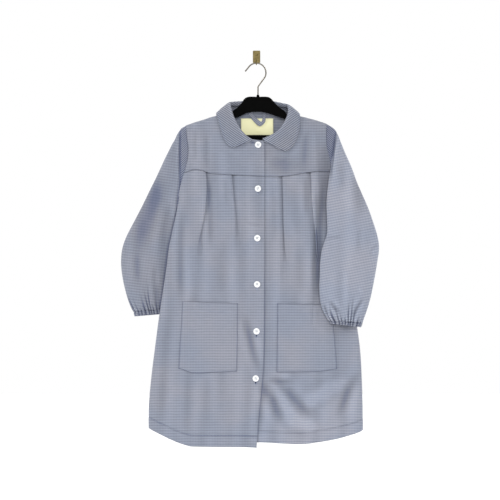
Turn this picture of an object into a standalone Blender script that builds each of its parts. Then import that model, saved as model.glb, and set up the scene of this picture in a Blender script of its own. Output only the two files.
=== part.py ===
# School smock on a plastic hanger that hangs from a small wall hook.
# Metres, +Z up.  The smock's front faces -Y and the wall is the plane y = 0.
# The origin is the centre of the wall plate's back face.
# Right and left are the wearer's, so the right side of the smock lies at -X.

import math
from collections import namedtuple

import bmesh
import bpy
from mathutils import Matrix, Vector

# Cloth
WALL = 0.0010                 # thickness of every cloth wall
SEAM_GAP = 0.0006             # between the edges of two pieces at a seam
ARMHOLE_GAP = 0.0011          # the same where the sleeve leaves at an angle
LAID_ON = 0.0014              # middle of a laid-on piece above the middle of its panel
LAP_RISE = 0.0018             # top front above the under front where they overlap

# Planes and rounds of the hanging garment
RIDGE_Y = -0.026              # plane of the hanger and of the shoulder ridge
RIDGE_ROUND_FRONT = 0.0080
RIDGE_ROUND_BACK = 0.0100
RIDGE_SETTLE = 0.100          # height below the ridge over which the depth settles
SIDE_ROUND = 0.0060           # round of the folded side edges
BACK_LAG = 0.020              # the back stays forward this far in from a side
BACK_RAMP = 0.080             # then falls back towards the wall over this width
RIGHT_TURN_POWER = 0.85
LEFT_TURN_POWER = 0.75

# Knife pleats
PLEAT_PITCH = 0.0017          # from one layer's middle to the next
PLEAT_DEPTH = 0.0090          # width of the hidden layer at the yoke seam
PLEAT_RUN = 0.0120            # half width of the cloth that each pleat bends

# Buttons
BUTTON_RADIUS = 0.0070
BUTTON_HEIGHT = 0.0026

# Sleeve rings
RING_HALF = 20                # points from the outer fold to the inner fold
GATHER_HEIGHT = 0.0014        # of the waves at the wrist
GATHER_RINGS = 4              # rings over which the waves die out

# Hanger and wall hook
HANGER_HALF_DEPTH = 0.0035
HANGER_EDGE = 0.0015
WIRE_RADIUS = 0.0015
HOOK_CENTRE_X = -0.0004
HOOK_CENTRE_Z = -0.0354
HOOK_RADIUS = 0.0211
SHANK_X = 0.0031
PLATE_WIDTH = 0.0164
PLATE_HEIGHT = 0.0246
PLATE_DEPTH = 0.0016
PRONG_RADIUS = 0.0012

Side = namedtuple("Side", "z right_x left_x right_y left_y right_turn left_turn front_y back_y")
SIDES = [
    Side(-0.120, -0.1674, 0.1725, -0.026, -0.026, 0.060, 0.040, -0.0460, -0.0155),
    Side(-0.160, -0.1674, 0.1725, -0.027, -0.026, 0.060, 0.040, -0.0480, -0.0150),
    Side(-0.206, -0.1679, 0.1714, -0.029, -0.027, 0.058, 0.040, -0.0490, -0.0140),
    Side(-0.255, -0.1685, 0.1703, -0.032, -0.028, 0.052, 0.040, -0.0500, -0.0130),
    Side(-0.296, -0.1785, 0.1810, -0.034, -0.029, 0.050, 0.040, -0.0512, -0.0125),
    Side(-0.326, -0.1740, 0.1758, -0.036, -0.030, 0.042, 0.043, -0.0520, -0.0120),
    Side(-0.371, -0.1828, 0.1846, -0.037, -0.030, 0.046, 0.053, -0.0535, -0.0115),
    Side(-0.422, -0.1936, 0.1945, -0.037, -0.030, 0.056, 0.067, -0.0545, -0.0110),
    Side(-0.464, -0.1987, 0.2011, -0.037, -0.030, 0.062, 0.076, -0.0550, -0.0110),
    Side(-0.503, -0.2044, 0.2066, -0.037, -0.030, 0.069, 0.083, -0.0550, -0.0110),
    Side(-0.562, -0.2134, 0.2165, -0.037, -0.031, 0.074, 0.084, -0.0550, -0.0110),
    Side(-0.638, -0.2235, 0.2275, -0.035, -0.033, 0.078, 0.080, -0.0540, -0.0110),
    Side(-0.708, -0.2323, 0.2319, -0.034, -0.034, 0.082, 0.078, -0.0530, -0.0115),
    Side(-0.778, -0.2380, 0.2341, -0.033, -0.034, 0.085, 0.078, -0.0520, -0.0120),
    Side(-0.862, -0.2367, 0.2341, -0.033, -0.034, 0.085, 0.078, -0.0520, -0.0120),
]

Place = namedtuple("Place", "x z")
SHOULDER_RIDGE = [
    Place(-0.1780, -0.1680), Place(-0.1657, -0.1588), Place(-0.1553, -0.1518),
    Place(-0.1289, -0.1430), Place(-0.1025, -0.1342), Place(-0.0640, -0.1214),
    Place(-0.0480, -0.1000), Place(0.0040, -0.0700), Place(0.0560, -0.1000),
    Place(0.0724, -0.1228), Place(0.1219, -0.1377), Place(0.1483, -0.1459),
    Place(0.1593, -0.1509), Place(0.1660, -0.1555), Place(0.1760, -0.1650),
]
RIGHT_NECK_X = -0.0640
LEFT_NECK_X = 0.0724

RIGHT_ARMHOLE = [
    Place(-0.1560, -0.150), Place(-0.1522, -0.189), Place(-0.1500, -0.206),
    Place(-0.1522, -0.228), Place(-0.1566, -0.248), Place(-0.1635, -0.269),
    Place(-0.1708, -0.300), Place(-0.1740, -0.326),
]
LEFT_ARMHOLE = [
    Place(0.1545, -0.148), Place(0.1536, -0.175), Place(0.1545, -0.197),
    Place(0.1613, -0.224), Place(0.1655, -0.254), Place(0.1715, -0.290),
    Place(0.1758, -0.326),
]
UNDERARM_Z = -0.326
TOP_FRONT_EDGE = [
    Place(0.0174, -0.186), Place(0.0172, -0.495), Place(0.0152, -0.668),
    Place(0.0097, -0.743), Place(0.0035, -0.805), Place(0.0000, -0.862),
]
UNDER_FRONT_EDGE = [Place(-0.0145, -0.186), Place(-0.0150, -0.600), Place(-0.0200, -0.862)]
LAP_START = [
    Place(-0.0300, -0.186), Place(-0.0262, -0.400), Place(-0.0256, -0.600),
    Place(-0.0275, -0.700), Place(-0.0370, -0.862),
]
LAP_FULL = [Place(-0.0190, -0.186), Place(-0.0200, -0.600), Place(-0.0260, -0.862)]

RIGHT_NECKLINE = [
    Place(-0.0640, -0.1214), Place(-0.0596, -0.1316), Place(-0.0497, -0.1503),
    Place(-0.0387, -0.1646), Place(-0.0266, -0.1756), Place(-0.0123, -0.1839),
    Place(0.0009, -0.1866), Place(0.0174, -0.1866),
]
LEFT_NECKLINE = [
    Place(0.0724, -0.1228), Place(0.0680, -0.1338), Place(0.0581, -0.1514),
    Place(0.0460, -0.1646), Place(0.0317, -0.1756), Place(0.0163, -0.1844),
    Place(0.0009, -0.1870), Place(-0.0145, -0.1870),
]
BACK_NECKLINE = [
    Place(-0.0640, -0.1214), Place(-0.0552, -0.1205), Place(-0.0416, -0.1140),
    Place(-0.0299, -0.1050), Place(0.0030, -0.1000), Place(0.0350, -0.1050),
    Place(0.0470, -0.1130), Place(0.0600, -0.1205), Place(0.0724, -0.1228),
]
RIGHT_YOKE_SEAM = [
    Place(-0.1590, -0.2560), Place(-0.1500, -0.2530), Place(-0.1338, -0.2490),
    Place(-0.1157, -0.2526), Place(-0.1003, -0.2581), Place(-0.0563, -0.2609),
    Place(0.0174, -0.2647),
]
LEFT_YOKE_SEAM = [
    Place(-0.0145, -0.2650), Place(0.0576, -0.2647), Place(0.1023, -0.2580),
    Place(0.1250, -0.2540), Place(0.1680, -0.2536),
]
POCKET_TOP = [
    Place(-0.1626, -0.5388), Place(-0.0416, -0.5438), Place(0.0449, -0.5441),
    Place(0.1236, -0.5460), Place(0.1700, -0.5470),
]
POCKET_BOTTOM = [
    Place(-0.1716, -0.6871), Place(-0.1426, -0.6965), Place(-0.0438, -0.6934),
    Place(0.0440, -0.6950), Place(0.1500, -0.6925), Place(0.1769, -0.6875),
]
RIGHT_HEM = [
    Place(-0.2367, -0.8190), Place(-0.2213, -0.8290), Place(-0.2081, -0.8356),
    Place(-0.1817, -0.8466), Place(-0.1553, -0.8558), Place(-0.1421, -0.8584),
    Place(-0.0101, -0.8598), Place(0.0002, -0.8611),
]
LEFT_HEM = [
    Place(-0.0200, -0.8477), Place(0.0031, -0.8488), Place(0.0427, -0.8510),
    Place(0.0955, -0.8532), Place(0.1219, -0.8510), Place(0.1747, -0.8422),
    Place(0.2011, -0.8356), Place(0.2143, -0.8312), Place(0.2341, -0.8170),
]
BACK_HEM = [
    Place(-0.2367, -0.8170), Place(-0.2200, -0.8270), Place(-0.1800, -0.8420),
    Place(-0.1400, -0.8500), Place(0.0000, -0.8520), Place(0.1200, -0.8460),
    Place(0.2000, -0.8320), Place(0.2341, -0.8150),
]

RIGHT_POCKET_SIDE = [
    Place(-0.1385, -0.250), Place(-0.1560, -0.400), Place(-0.1626, -0.539),
    Place(-0.1716, -0.687), Place(-0.1780, -0.860),
]
RIGHT_OUTER_PLEAT = [
    Place(-0.1127, -0.250), Place(-0.1104, -0.305), Place(-0.1252, -0.404),
    Place(-0.1300, -0.539), Place(-0.1320, -0.688), Place(-0.1360, -0.860),
]
RIGHT_INNER_PLEAT = [
    Place(-0.0557, -0.260), Place(-0.0455, -0.386), Place(-0.0416, -0.544),
    Place(-0.0438, -0.693), Place(-0.0560, -0.860),
]
LEFT_POCKET_INNER = [
    Place(0.0370, -0.260), Place(0.0449, -0.544), Place(0.0440, -0.695), Place(0.0430, -0.860),
]
LEFT_INNER_PLEAT = [
    Place(0.0576, -0.260), Place(0.0605, -0.377), Place(0.0669, -0.514),
    Place(0.0690, -0.695), Place(0.0690, -0.860),
]
LEFT_OUTER_PLEAT = [
    Place(0.1195, -0.255), Place(0.1285, -0.377), Place(0.1342, -0.530),
    Place(0.1380, -0.690), Place(0.1420, -0.860),
]
LEFT_POCKET_SIDE = [
    Place(0.1420, -0.255), Place(0.1590, -0.400), Place(0.1654, -0.547),
    Place(0.1769, -0.6875), Place(0.1850, -0.860),
]

# Each pleat: its guide, the height where it has died out, and the size of its soft remainder
Pleat = namedtuple("Pleat", "guide seam_x end_z soft_depth outward")
RIGHT_OUTER = Pleat(RIGHT_OUTER_PLEAT, -0.1127, -0.460, 0.0020, -1)
RIGHT_INNER = Pleat(RIGHT_INNER_PLEAT, -0.0557, -0.440, 0.0012, -1)
LEFT_INNER = Pleat(LEFT_INNER_PLEAT, 0.0576, -0.520, 0.0016, 1)
LEFT_OUTER = Pleat(LEFT_OUTER_PLEAT, 0.1195, -0.530, 0.0016, 1)

# Large folds of the hanging cloth: a straight trough from one end to the other
Fold = namedtuple("Fold", "x0 z0 x1 z1 width depth")
FOLDS = [
    Fold(0.0180, -0.7350, 0.0660, -0.8100, 0.022, 0.0045),
    Fold(0.0560, -0.7180, 0.1190, -0.7870, 0.024, 0.0050),
    Fold(0.2250, -0.6970, 0.1840, -0.7850, 0.020, 0.0035),
    Fold(-0.0260, -0.5790, -0.0100, -0.6500, 0.018, 0.0030),
    Fold(-0.1350, -0.4900, -0.1560, -0.8500, 0.022, 0.0030),
    Fold(-0.1340, -0.1600, -0.1330, -0.2260, 0.012, 0.0015),
]

# Sleeve rings: outer and inner fold, depth of both folds, rise of the front face and
# of the back face, and how far the front leans in and the back leans out
Ring = namedtuple(
    "Ring", "outer_x outer_z inner_x inner_z outer_y inner_y front back front_bow back_bow skew"
)
RIGHT_RINGS = [
    Ring(-0.1660, -0.1592, -0.1762, -0.3315, -0.026, -0.0350, 0.0055, 0.0080, 0.000, 0.000, 1.0),
    Ring(-0.1725, -0.1679, -0.1785, -0.3420, -0.024, -0.0310, 0.0085, 0.0090, 0.000, 0.000, 1.0),
    Ring(-0.1845, -0.1895, -0.1805, -0.3540, -0.021, -0.0265, 0.0110, 0.0090, 0.000, 0.000, 1.0),
    Ring(-0.1990, -0.2190, -0.1790, -0.3690, -0.019, -0.0220, 0.0110, 0.0090, 0.000, 0.000, 1.0),
    Ring(-0.2200, -0.2620, -0.1740, -0.3860, -0.018, -0.0185, 0.0105, 0.0095, 0.000, 0.000, 1.0),
    Ring(-0.2455, -0.3131, -0.1725, -0.4060, -0.018, -0.0175, 0.0105, 0.0095, 0.000, 0.000, 1.0),
    Ring(-0.2710, -0.3640, -0.1735, -0.4250, -0.018, -0.0175, 0.0105, 0.0095, 0.000, 0.000, 1.0),
    Ring(-0.2950, -0.4187, -0.1800, -0.4570, -0.018, -0.0175, 0.0110, 0.0095, 0.000, 0.000, 1.0),
    Ring(-0.2990, -0.4560, -0.1860, -0.4850, -0.018, -0.0175, 0.0110, 0.0095, 0.000, 0.000, 1.0),
    Ring(-0.2945, -0.4920, -0.1915, -0.5110, -0.018, -0.0175, 0.0110, 0.0095, 0.000, 0.000, 1.0),
    Ring(-0.2860, -0.5240, -0.1955, -0.5330, -0.018, -0.0175, 0.0105, 0.0090, 0.000, 0.000, 1.0),
    Ring(-0.2780, -0.5450, -0.1975, -0.5470, -0.018, -0.0180, 0.0095, 0.0085, 0.000, 0.000, 1.0),
    Ring(-0.2697, -0.5617, -0.1987, -0.5570, -0.018, -0.0180, 0.0080, 0.0075, 0.000, 0.000, 1.0),
]
LEFT_RINGS = [
    Ring(0.1665, -0.1560, 0.1785, -0.3330, -0.027, -0.0310, 0.0120, 0.0060, 0.006, 0.006, 1.0),
    Ring(0.1742, -0.1635, 0.1800, -0.3460, -0.032, -0.0345, 0.0130, 0.0060, 0.014, 0.009, 1.3),
    Ring(0.1815, -0.1800, 0.1775, -0.3600, -0.044, -0.0400, 0.0150, 0.0070, 0.022, 0.010, 1.5),
    Ring(0.1930, -0.2100, 0.1710, -0.3740, -0.054, -0.0470, 0.0160, 0.0080, 0.024, 0.010, 1.7),
    Ring(0.2120, -0.2550, 0.1620, -0.3880, -0.059, -0.0540, 0.0130, 0.0090, 0.018, 0.008, 2.0),
    Ring(0.2303, -0.2999, 0.1520, -0.4030, -0.061, -0.0590, 0.0110, 0.0095, 0.008, 0.005, 2.0),
    Ring(0.2520, -0.3550, 0.1445, -0.4230, -0.061, -0.0610, 0.0110, 0.0100, 0.001, 0.000, 1.0),
    Ring(0.2680, -0.4154, 0.1404, -0.4480, -0.061, -0.0610, 0.0110, 0.0100, 0.000, 0.000, 1.0),
    Ring(0.2638, -0.4560, 0.1388, -0.4820, -0.061, -0.0610, 0.0110, 0.0100, 0.000, 0.000, 1.0),
    Ring(0.2575, -0.4920, 0.1380, -0.5120, -0.061, -0.0610, 0.0110, 0.0100, 0.000, 0.000, 1.0),
    Ring(0.2510, -0.5250, 0.1395, -0.5370, -0.060, -0.0600, 0.0105, 0.0100, 0.000, 0.000, 1.0),
    Ring(0.2445, -0.5500, 0.1440, -0.5550, -0.059, -0.0590, 0.0100, 0.0095, 0.000, 0.000, 1.0),
    Ring(0.2380, -0.5690, 0.1510, -0.5690, -0.058, -0.0580, 0.0090, 0.0085, 0.000, 0.000, 1.0),
    Ring(0.2314, -0.5856, 0.1591, -0.5810, -0.057, -0.0570, 0.0080, 0.0075, 0.000, 0.000, 1.0),
]
RIGHT_CUFF = [
    Ring(-0.2694, -0.5624, -0.1985, -0.5577, -0.018, -0.0180, 0.0079, 0.0074, 0.000, 0.000, 1.0),
    Ring(-0.2683, -0.5678, -0.1979, -0.5626, -0.018, -0.0180, 0.0079, 0.0074, 0.000, 0.000, 1.0),
    Ring(-0.2671, -0.5727, -0.1971, -0.5669, -0.018, -0.0180, 0.0076, 0.0071, 0.000, 0.000, 1.0),
]
LEFT_CUFF = [
    Ring(0.2312, -0.5863, 0.1593, -0.5817, -0.057, -0.0570, 0.0079, 0.0074, 0.000, 0.000, 1.0),
    Ring(0.2294, -0.5913, 0.1607, -0.5851, -0.057, -0.0570, 0.0079, 0.0074, 0.000, 0.000, 1.0),
    Ring(0.2273, -0.5955, 0.1619, -0.5883, -0.057, -0.0570, 0.0076, 0.0071, 0.000, 0.000, 1.0),
]

# Collar stations round the neck: roll line, outer edge, their depths where the front does
# not set them, the side that the leaf faces (0 the front, 90 up, 180 the wall), the
# leaf's fullness, and how far it stands off the shoulder
Station = namedtuple("Station", "roll_x roll_z edge_x edge_z roll_y edge_y turn fullness off")
COLLAR = [
    Station(-0.0097, -0.1835, -0.0114, -0.1866, None, None, 0, 0.25, 0.0),
    Station(-0.0160, -0.1797, -0.0222, -0.1923, None, None, 0, 0.55, 0.0),
    Station(-0.0249, -0.1729, -0.0376, -0.1989, None, None, 0, 0.85, 0.0),
    Station(-0.0343, -0.1624, -0.0515, -0.2002, None, None, 0, 1.0, 0.0),
    Station(-0.0398, -0.1536, -0.0640, -0.1950, None, None, 0, 1.0, 0.0),
    Station(-0.0449, -0.1437, -0.0730, -0.1800, None, None, 0, 1.0, 0.0),
    Station(-0.0510, -0.1316, -0.0800, -0.1610, None, None, 10, 1.0, 0.0004),
    Station(-0.0552, -0.1195, -0.0849, -0.1448, None, None, 30, 1.0, 0.0010),
    Station(-0.0576, -0.1115, -0.0880, -0.1350, -0.0310, -0.0335, 58, 1.0, 0.0016),
    Station(-0.0580, -0.1063, -0.0889, -0.1290, -0.0260, -0.0260, 90, 1.0, 0.0016),
    Station(-0.0565, -0.1040, -0.0880, -0.1350, -0.0220, -0.0175, 122, 1.0, 0.0016),
    Station(-0.0480, -0.1010, -0.0790, -0.1470, -0.0180, -0.0148, 150, 1.0, 0.0010),
    Station(-0.0290, -0.0975, -0.0450, -0.1530, -0.0155, -0.0128, 180, 1.0, 0.0),
    Station(0.0020, -0.0937, 0.0020, -0.1530, -0.0150, -0.0124, 180, 1.0, 0.0),
    Station(0.0339, -0.0975, 0.0490, -0.1530, -0.0155, -0.0128, 180, 1.0, 0.0),
    Station(0.0550, -0.1040, 0.0850, -0.1470, -0.0180, -0.0148, 150, 1.0, 0.0010),
    Station(0.0660, -0.1085, 0.0935, -0.1370, -0.0220, -0.0175, 122, 1.0, 0.0016),
    Station(0.0678, -0.1113, 0.0945, -0.1298, -0.0260, -0.0260, 90, 1.0, 0.0016),
    Station(0.0688, -0.1160, 0.0955, -0.1365, -0.0310, -0.0335, 58, 1.0, 0.0016),
    Station(0.0695, -0.1230, 0.0962, -0.1460, None, None, 30, 1.0, 0.0010),
    Station(0.0656, -0.1360, 0.0928, -0.1624, None, None, 10, 1.0, 0.0004),
    Station(0.0581, -0.1492, 0.0858, -0.1800, None, None, 0, 1.0, 0.0),
    Station(0.0497, -0.1610, 0.0763, -0.1954, None, None, 0, 1.0, 0.0),
    Station(0.0400, -0.1690, 0.0640, -0.2060, None, None, 0, 1.0, 0.0),
    Station(0.0295, -0.1747, 0.0493, -0.2075, None, None, 0, 0.85, 0.0),
    Station(0.0211, -0.1786, 0.0328, -0.1982, None, None, 0, 0.55, 0.0),
    Station(0.0136, -0.1813, 0.0174, -0.1877, None, None, 0, 0.30, 0.0),
]
# Collar section from the neck seam over the roll to the leaf's edge
Section = namedtuple("Section", "out lift")
COLLAR_SECTION = [
    Section(0.20, 0.0018), Section(0.08, 0.0020), Section(0.00, 0.0032), Section(0.05, 0.0046),
    Section(0.20, 0.0056), Section(0.50, 0.0052), Section(0.80, 0.0034), Section(1.00, 0.0018),
]
COLLAR_TOP_LAP_RISE = 0.0020

YOKE_SEAM = RIGHT_YOKE_SEAM + LEFT_YOKE_SEAM

# Rows near the ridge, by drop, then by share of the way down
RIDGE_DROPS = (0.0, 0.0011, 0.0040, 0.0080)
YOKE_SHARES = (0.22, 0.46, 0.72, 1.0)
NECK_SHARES = (0.20, 0.60)    # extra columns from the neck point inwards
BACK_ROWS = (
    0.020, 0.042, 0.063, 0.085, 0.108, 0.134, 0.165, 0.200, 0.243,
    0.33, 0.43, 0.53, 0.63, 0.73, 0.83, 0.93, 1.0,
)
RIGHT_NECK_SHARE = 0.287
LEFT_NECK_SHARE = 0.744
BACK_SHARES = (0.10, 0.20, RIGHT_NECK_SHARE, 0.35, 0.43, 0.515, 0.60, 0.68, LEFT_NECK_SHARE, 0.83, 0.92)

ARMHOLE_CROWDING = 1.5        # draws the armhole's points towards the shoulder
CROWDED_RINGS = 5
BACK_SKEW = 5.0               # draws the back's lean towards the underarm

# Buttons, with the gap from the smooth front behind each
Button = namedtuple("Button", "x z gap")
BUTTONS = [
    Button(0.0033, -0.1950, 0.0008),
    Button(0.0029, -0.2915, 0.0005),
    Button(0.0015, -0.4004, 0.0004),
    Button(0.0011, -0.5018, 0.0003),
    Button(-0.0002, -0.6050, -0.0002),
    Button(-0.0020, -0.7086, 0.0002),
]
BUTTON_STEPS = 14

LABEL_TOP = -0.1358
LABEL_BOTTOM = -0.1800
LABEL_RIGHT = -0.0345
LABEL_LEFT = 0.0369
# Folded strip of the loop: both edges of the strip from one end to the other
LoopRow = namedtuple("LoopRow", "x0 z0 x1 z1 y")
NECK_LOOP = [
    LoopRow(-0.0180, -0.1200, -0.0080, -0.1200, -0.0186),
    LoopRow(-0.0165, -0.1290, -0.0075, -0.1265, -0.0186),
    LoopRow(-0.0040, -0.1450, 0.0030, -0.1380, -0.0190),
    LoopRow(0.0070, -0.1530, 0.0105, -0.1430, -0.0192),
    LoopRow(0.0185, -0.1440, 0.0125, -0.1400, -0.0190),
    LoopRow(0.0200, -0.1300, 0.0140, -0.1290, -0.0186),
    LoopRow(0.0205, -0.1200, 0.0145, -0.1200, -0.0186),
]

HANGER_OUTLINE = [
    Place(-0.0189, -0.0908), Place(0.0262, -0.0908), Place(0.0300, -0.0930), Place(0.0365, -0.0997),
    Place(0.0508, -0.1131), Place(0.0590, -0.1187), Place(0.0640, -0.1235), Place(0.0690, -0.1305),
    Place(0.0780, -0.1320),
    Place(0.1219, -0.1395), Place(0.1483, -0.1477), Place(0.1550, -0.1520), Place(0.1595, -0.1590),
    Place(0.1600, -0.1700), Place(0.1570, -0.1775), Place(0.1500, -0.1808), Place(-0.1450, -0.1808),
    Place(-0.1515, -0.1775), Place(-0.1545, -0.1700), Place(-0.1540, -0.1600), Place(-0.1500, -0.1535),
    Place(-0.1289, -0.1448), Place(-0.1025, -0.1360), Place(-0.0740, -0.1305), Place(-0.0645, -0.1305),
    Place(-0.0590, -0.1260), Place(-0.0543, -0.1218),
    Place(-0.0416, -0.1140), Place(-0.0308, -0.1023), Place(-0.0266, -0.0964),
]
HANGER_OPENING = [
    Place(0.0046, -0.1217), Place(0.0257, -0.1250), Place(0.0425, -0.1309), Place(0.0609, -0.1365),
    Place(0.1200, -0.1545), Place(0.1400, -0.1615), Place(0.1450, -0.1680), Place(0.1400, -0.1727),
    Place(-0.1350, -0.1727), Place(-0.1400, -0.1680), Place(-0.1350, -0.1615), Place(-0.1180, -0.1560),
    Place(-0.0493, -0.1366), Place(-0.0332, -0.1300), Place(-0.0207, -0.1241),
]
SEATED = 0.0003               # gap of parts that rest on each other
FERRULE_RADIUS = 0.0032
FERRULE_HEIGHT = 0.0068
FERRULE_BOTTOM = -0.0905
SHANK_TOP = -0.0662
HOOK_START_ANGLE = -28.0
HOOK_END_ANGLE = 148.0
HOOK_STEPS = 16
HOOK_TIP = Place(-0.0252, -0.0325)
PLATE_EDGE = 0.0006
SCREW_RADIUS = 0.0023
SCREW_HEIGHT = 0.0011
SCREW_Z = 0.0064
Reach = namedtuple("Reach", "y z")
PRONG_ROOT_Z = -0.0096
PRONG_REACH = [Reach(-0.0100, -0.0104), Reach(-0.0180, -0.0128)]
PRONG_TIP = [Reach(-0.0292, -0.0105), Reach(-0.0297, -0.0058)]
PRONG_START_ANGLE = -20.0
PRONG_END_ANGLE = -170.0
PRONG_STEPS = 6


def clear_scene():
    for scene_object in list(bpy.data.objects):
        bpy.data.objects.remove(scene_object, do_unlink=True)


def new_collection(name):
    collection = bpy.data.collections.new(name)
    bpy.context.scene.collection.children.link(collection)
    return collection


def new_material(name, colour, roughness, metallic=0.0):
    material = bpy.data.materials.new(name)
    material.use_nodes = True
    shader = material.node_tree.nodes["Principled BSDF"]
    shader.inputs["Base Color"].default_value = (*colour, 1.0)
    shader.inputs["Roughness"].default_value = roughness
    shader.inputs["Metallic"].default_value = metallic
    return material


# Reading tables
def read(rows, key, value, at):
    """One named column of a table as a smooth curve over another column."""
    points = sorted((getattr(row, key), getattr(row, value)) for row in rows)
    if at <= points[0][0]:
        return points[0][1]
    if at >= points[-1][0]:
        return points[-1][1]
    last = len(points) - 1
    start = max(index for index in range(last) if points[index][0] <= at)

    def slope(index):
        before = points[max(index - 1, 0)]
        after = points[min(index + 1, last)]
        return (after[1] - before[1]) / (after[0] - before[0])

    width = points[start + 1][0] - points[start][0]
    t = (at - points[start][0]) / width
    rise = 3 * t**2 - 2 * t**3
    return (
        points[start][1] * (1 - rise)
        + points[start + 1][1] * rise
        + slope(start) * width * (t**3 - 2 * t**2 + t)
        + slope(start + 1) * width * (t**3 - t**2)
    )


def mix(first, second, share):
    return first + (second - first) * share


def eased(t):
    t = min(max(t, 0.0), 1.0)
    return t * t * (3 - 2 * t)


def rounded(t):
    """Quarter circle from 0 to 1."""
    t = min(max(t, 0.0), 1.0)
    return math.sqrt(1 - (1 - t) ** 2)


# Form of the hanging body
def fold_depth(x, z):
    """How far the large folds push the cloth back at a place."""
    total = 0.0
    for fold in FOLDS:
        along_x = fold.x1 - fold.x0
        along_z = fold.z1 - fold.z0
        length = math.hypot(along_x, along_z)
        along = ((x - fold.x0) * along_x + (z - fold.z0) * along_z) / length**2
        across = ((x - fold.x0) * along_z - (z - fold.z0) * along_x) / length
        ends = eased((along + 0.15) / 0.35) * eased((1.15 - along) / 0.35)
        total += fold.depth * ends * math.exp(-((across / fold.width) ** 2) * 2)
    return total


def front_y(x, z):
    """Depth of the front surface, before pleats and laps."""
    front = read(SIDES, "z", "front_y", z)
    right_y = read(SIDES, "z", "right_y", z)
    left_y = read(SIDES, "z", "left_y", z)
    from_right = x - read(SIDES, "z", "right_x", z)
    from_left = read(SIDES, "z", "left_x", z) - x
    right_turn = min(max(from_right / read(SIDES, "z", "right_turn", z), 0.0), 1.0)
    left_turn = min(max(from_left / read(SIDES, "z", "left_turn", z), 0.0), 1.0)
    y = front
    y += (right_y - SIDE_ROUND - front) * (1 - right_turn) ** RIGHT_TURN_POWER
    y += (left_y - SIDE_ROUND - front) * (1 - left_turn) ** LEFT_TURN_POWER
    y += SIDE_ROUND * (1 - rounded(min(from_right, from_left) / SIDE_ROUND))
    y += fold_depth(x, z)
    below = read(SHOULDER_RIDGE, "x", "z", x) - z
    settled = (y - RIDGE_Y + RIDGE_ROUND_FRONT) * eased(below / RIDGE_SETTLE)
    return RIDGE_Y - RIDGE_ROUND_FRONT * rounded(below / RIDGE_ROUND_FRONT) + settled


def back_y(x, z):
    """Depth of the back surface."""
    back = read(SIDES, "z", "back_y", z)
    right_y = read(SIDES, "z", "right_y", z)
    left_y = read(SIDES, "z", "left_y", z)
    from_right = x - read(SIDES, "z", "right_x", z)
    from_left = read(SIDES, "z", "left_x", z) - x
    y = back
    y += (right_y + SIDE_ROUND - back) * (1 - eased((from_right - BACK_LAG) / BACK_RAMP))
    y += (left_y + SIDE_ROUND - back) * (1 - eased((from_left - BACK_LAG) / BACK_RAMP))
    y -= SIDE_ROUND * (1 - rounded(min(from_right, from_left) / SIDE_ROUND))
    below = read(SHOULDER_RIDGE, "x", "z", x) - z
    settled = (y - RIDGE_Y - RIDGE_ROUND_BACK) * eased(below / RIDGE_SETTLE)
    return RIDGE_Y + RIDGE_ROUND_BACK * rounded(below / RIDGE_ROUND_BACK) + settled


def top_front_y(x, z):
    """Depth of the right front, which rises where it laps over the left front."""
    start = read(LAP_START, "z", "x", z)
    full = read(LAP_FULL, "z", "x", z)
    return front_y(x, z) - LAP_RISE * eased((x - start) / (full - start))


def right_edge(z):
    """Outer edge of the body pieces on the right: the armhole, then the side seam."""
    if z > UNDERARM_Z:
        return read(RIGHT_ARMHOLE, "z", "x", z)
    return read(SIDES, "z", "right_x", z)


def left_edge(z):
    if z > UNDERARM_Z:
        return read(LEFT_ARMHOLE, "z", "x", z)
    return read(SIDES, "z", "left_x", z)


# Column makers: each gives x at a height
def guide_column(rows, shift=0.0):
    return lambda z: read(rows, "z", "x", z) + shift


def edge_column(edge, inward):
    return lambda z: edge(z) + inward


def mixed_column(first, second, share):
    return lambda z: mix(first(z), second(z), share)


PLEAT_STEPS = 2               # of each of a pleat's two turns
LAYERS_PART = 0.70            # how far a pleat opens before its layers no longer overlap
PLEAT_COUNT = 2 * PLEAT_STEPS + 3


def pleat_points(width):
    """Folded pleat as (outward, depth) pairs, from its outer side to its inner side."""
    half = PLEAT_PITCH / 2
    points = []
    for step in range(PLEAT_STEPS + 1):
        angle = math.pi * step / PLEAT_STEPS
        points.append((-half * math.sin(angle), -half + half * math.cos(angle)))
    for step in range(PLEAT_STEPS + 1):
        angle = math.pi * step / PLEAT_STEPS
        points.append((width + half * math.sin(angle), -3 * half + half * math.cos(angle)))
    points.append((-0.25 * PLEAT_RUN, -4 * half))
    return points


def pleat_shape(pleat, order, z):
    """Outward shift and depth of one of a pleat's columns at a height."""
    share = (order + 1) / (PLEAT_COUNT + 1)
    top = read(YOKE_SEAM, "x", "z", pleat.seam_x)
    t = min(max((top - z) / (top - pleat.end_z), 0.0), 1.0)
    opened = t**0.8
    width = PLEAT_DEPTH * (1 - 0.95 * min(opened / LAYERS_PART, 1.0))
    folded_out, folded_deep = pleat_points(width)[order]
    spread = eased((opened - LAYERS_PART) / (1 - LAYERS_PART) * 1.8)
    levelled = eased((opened - LAYERS_PART) / (1 - LAYERS_PART))
    soft_out = PLEAT_RUN * (1 - 2 * share)
    soft_deep = -pleat.soft_depth * (1 - t * 0.7) * math.sin(math.pi * share) ** 2
    return mix(folded_out, soft_out, spread), mix(folded_deep, soft_deep, levelled)


Column = namedtuple("Column", "x_at pleat order")


def plain(x_at):
    return Column(x_at, None, 0)


def pleat_columns(pleat, from_outside):
    """The columns of a pleat with the shared plain columns at both of its sides."""
    orders = range(PLEAT_COUNT) if from_outside else reversed(range(PLEAT_COUNT))
    middle = guide_column(pleat.guide)
    columns = [Column(middle, pleat, order) for order in orders]
    outer = plain(guide_column(pleat.guide, pleat.outward * PLEAT_RUN))
    inner = plain(guide_column(pleat.guide, -pleat.outward * PLEAT_RUN))
    return [outer, *columns, inner] if from_outside else [inner, *columns, outer]


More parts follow.
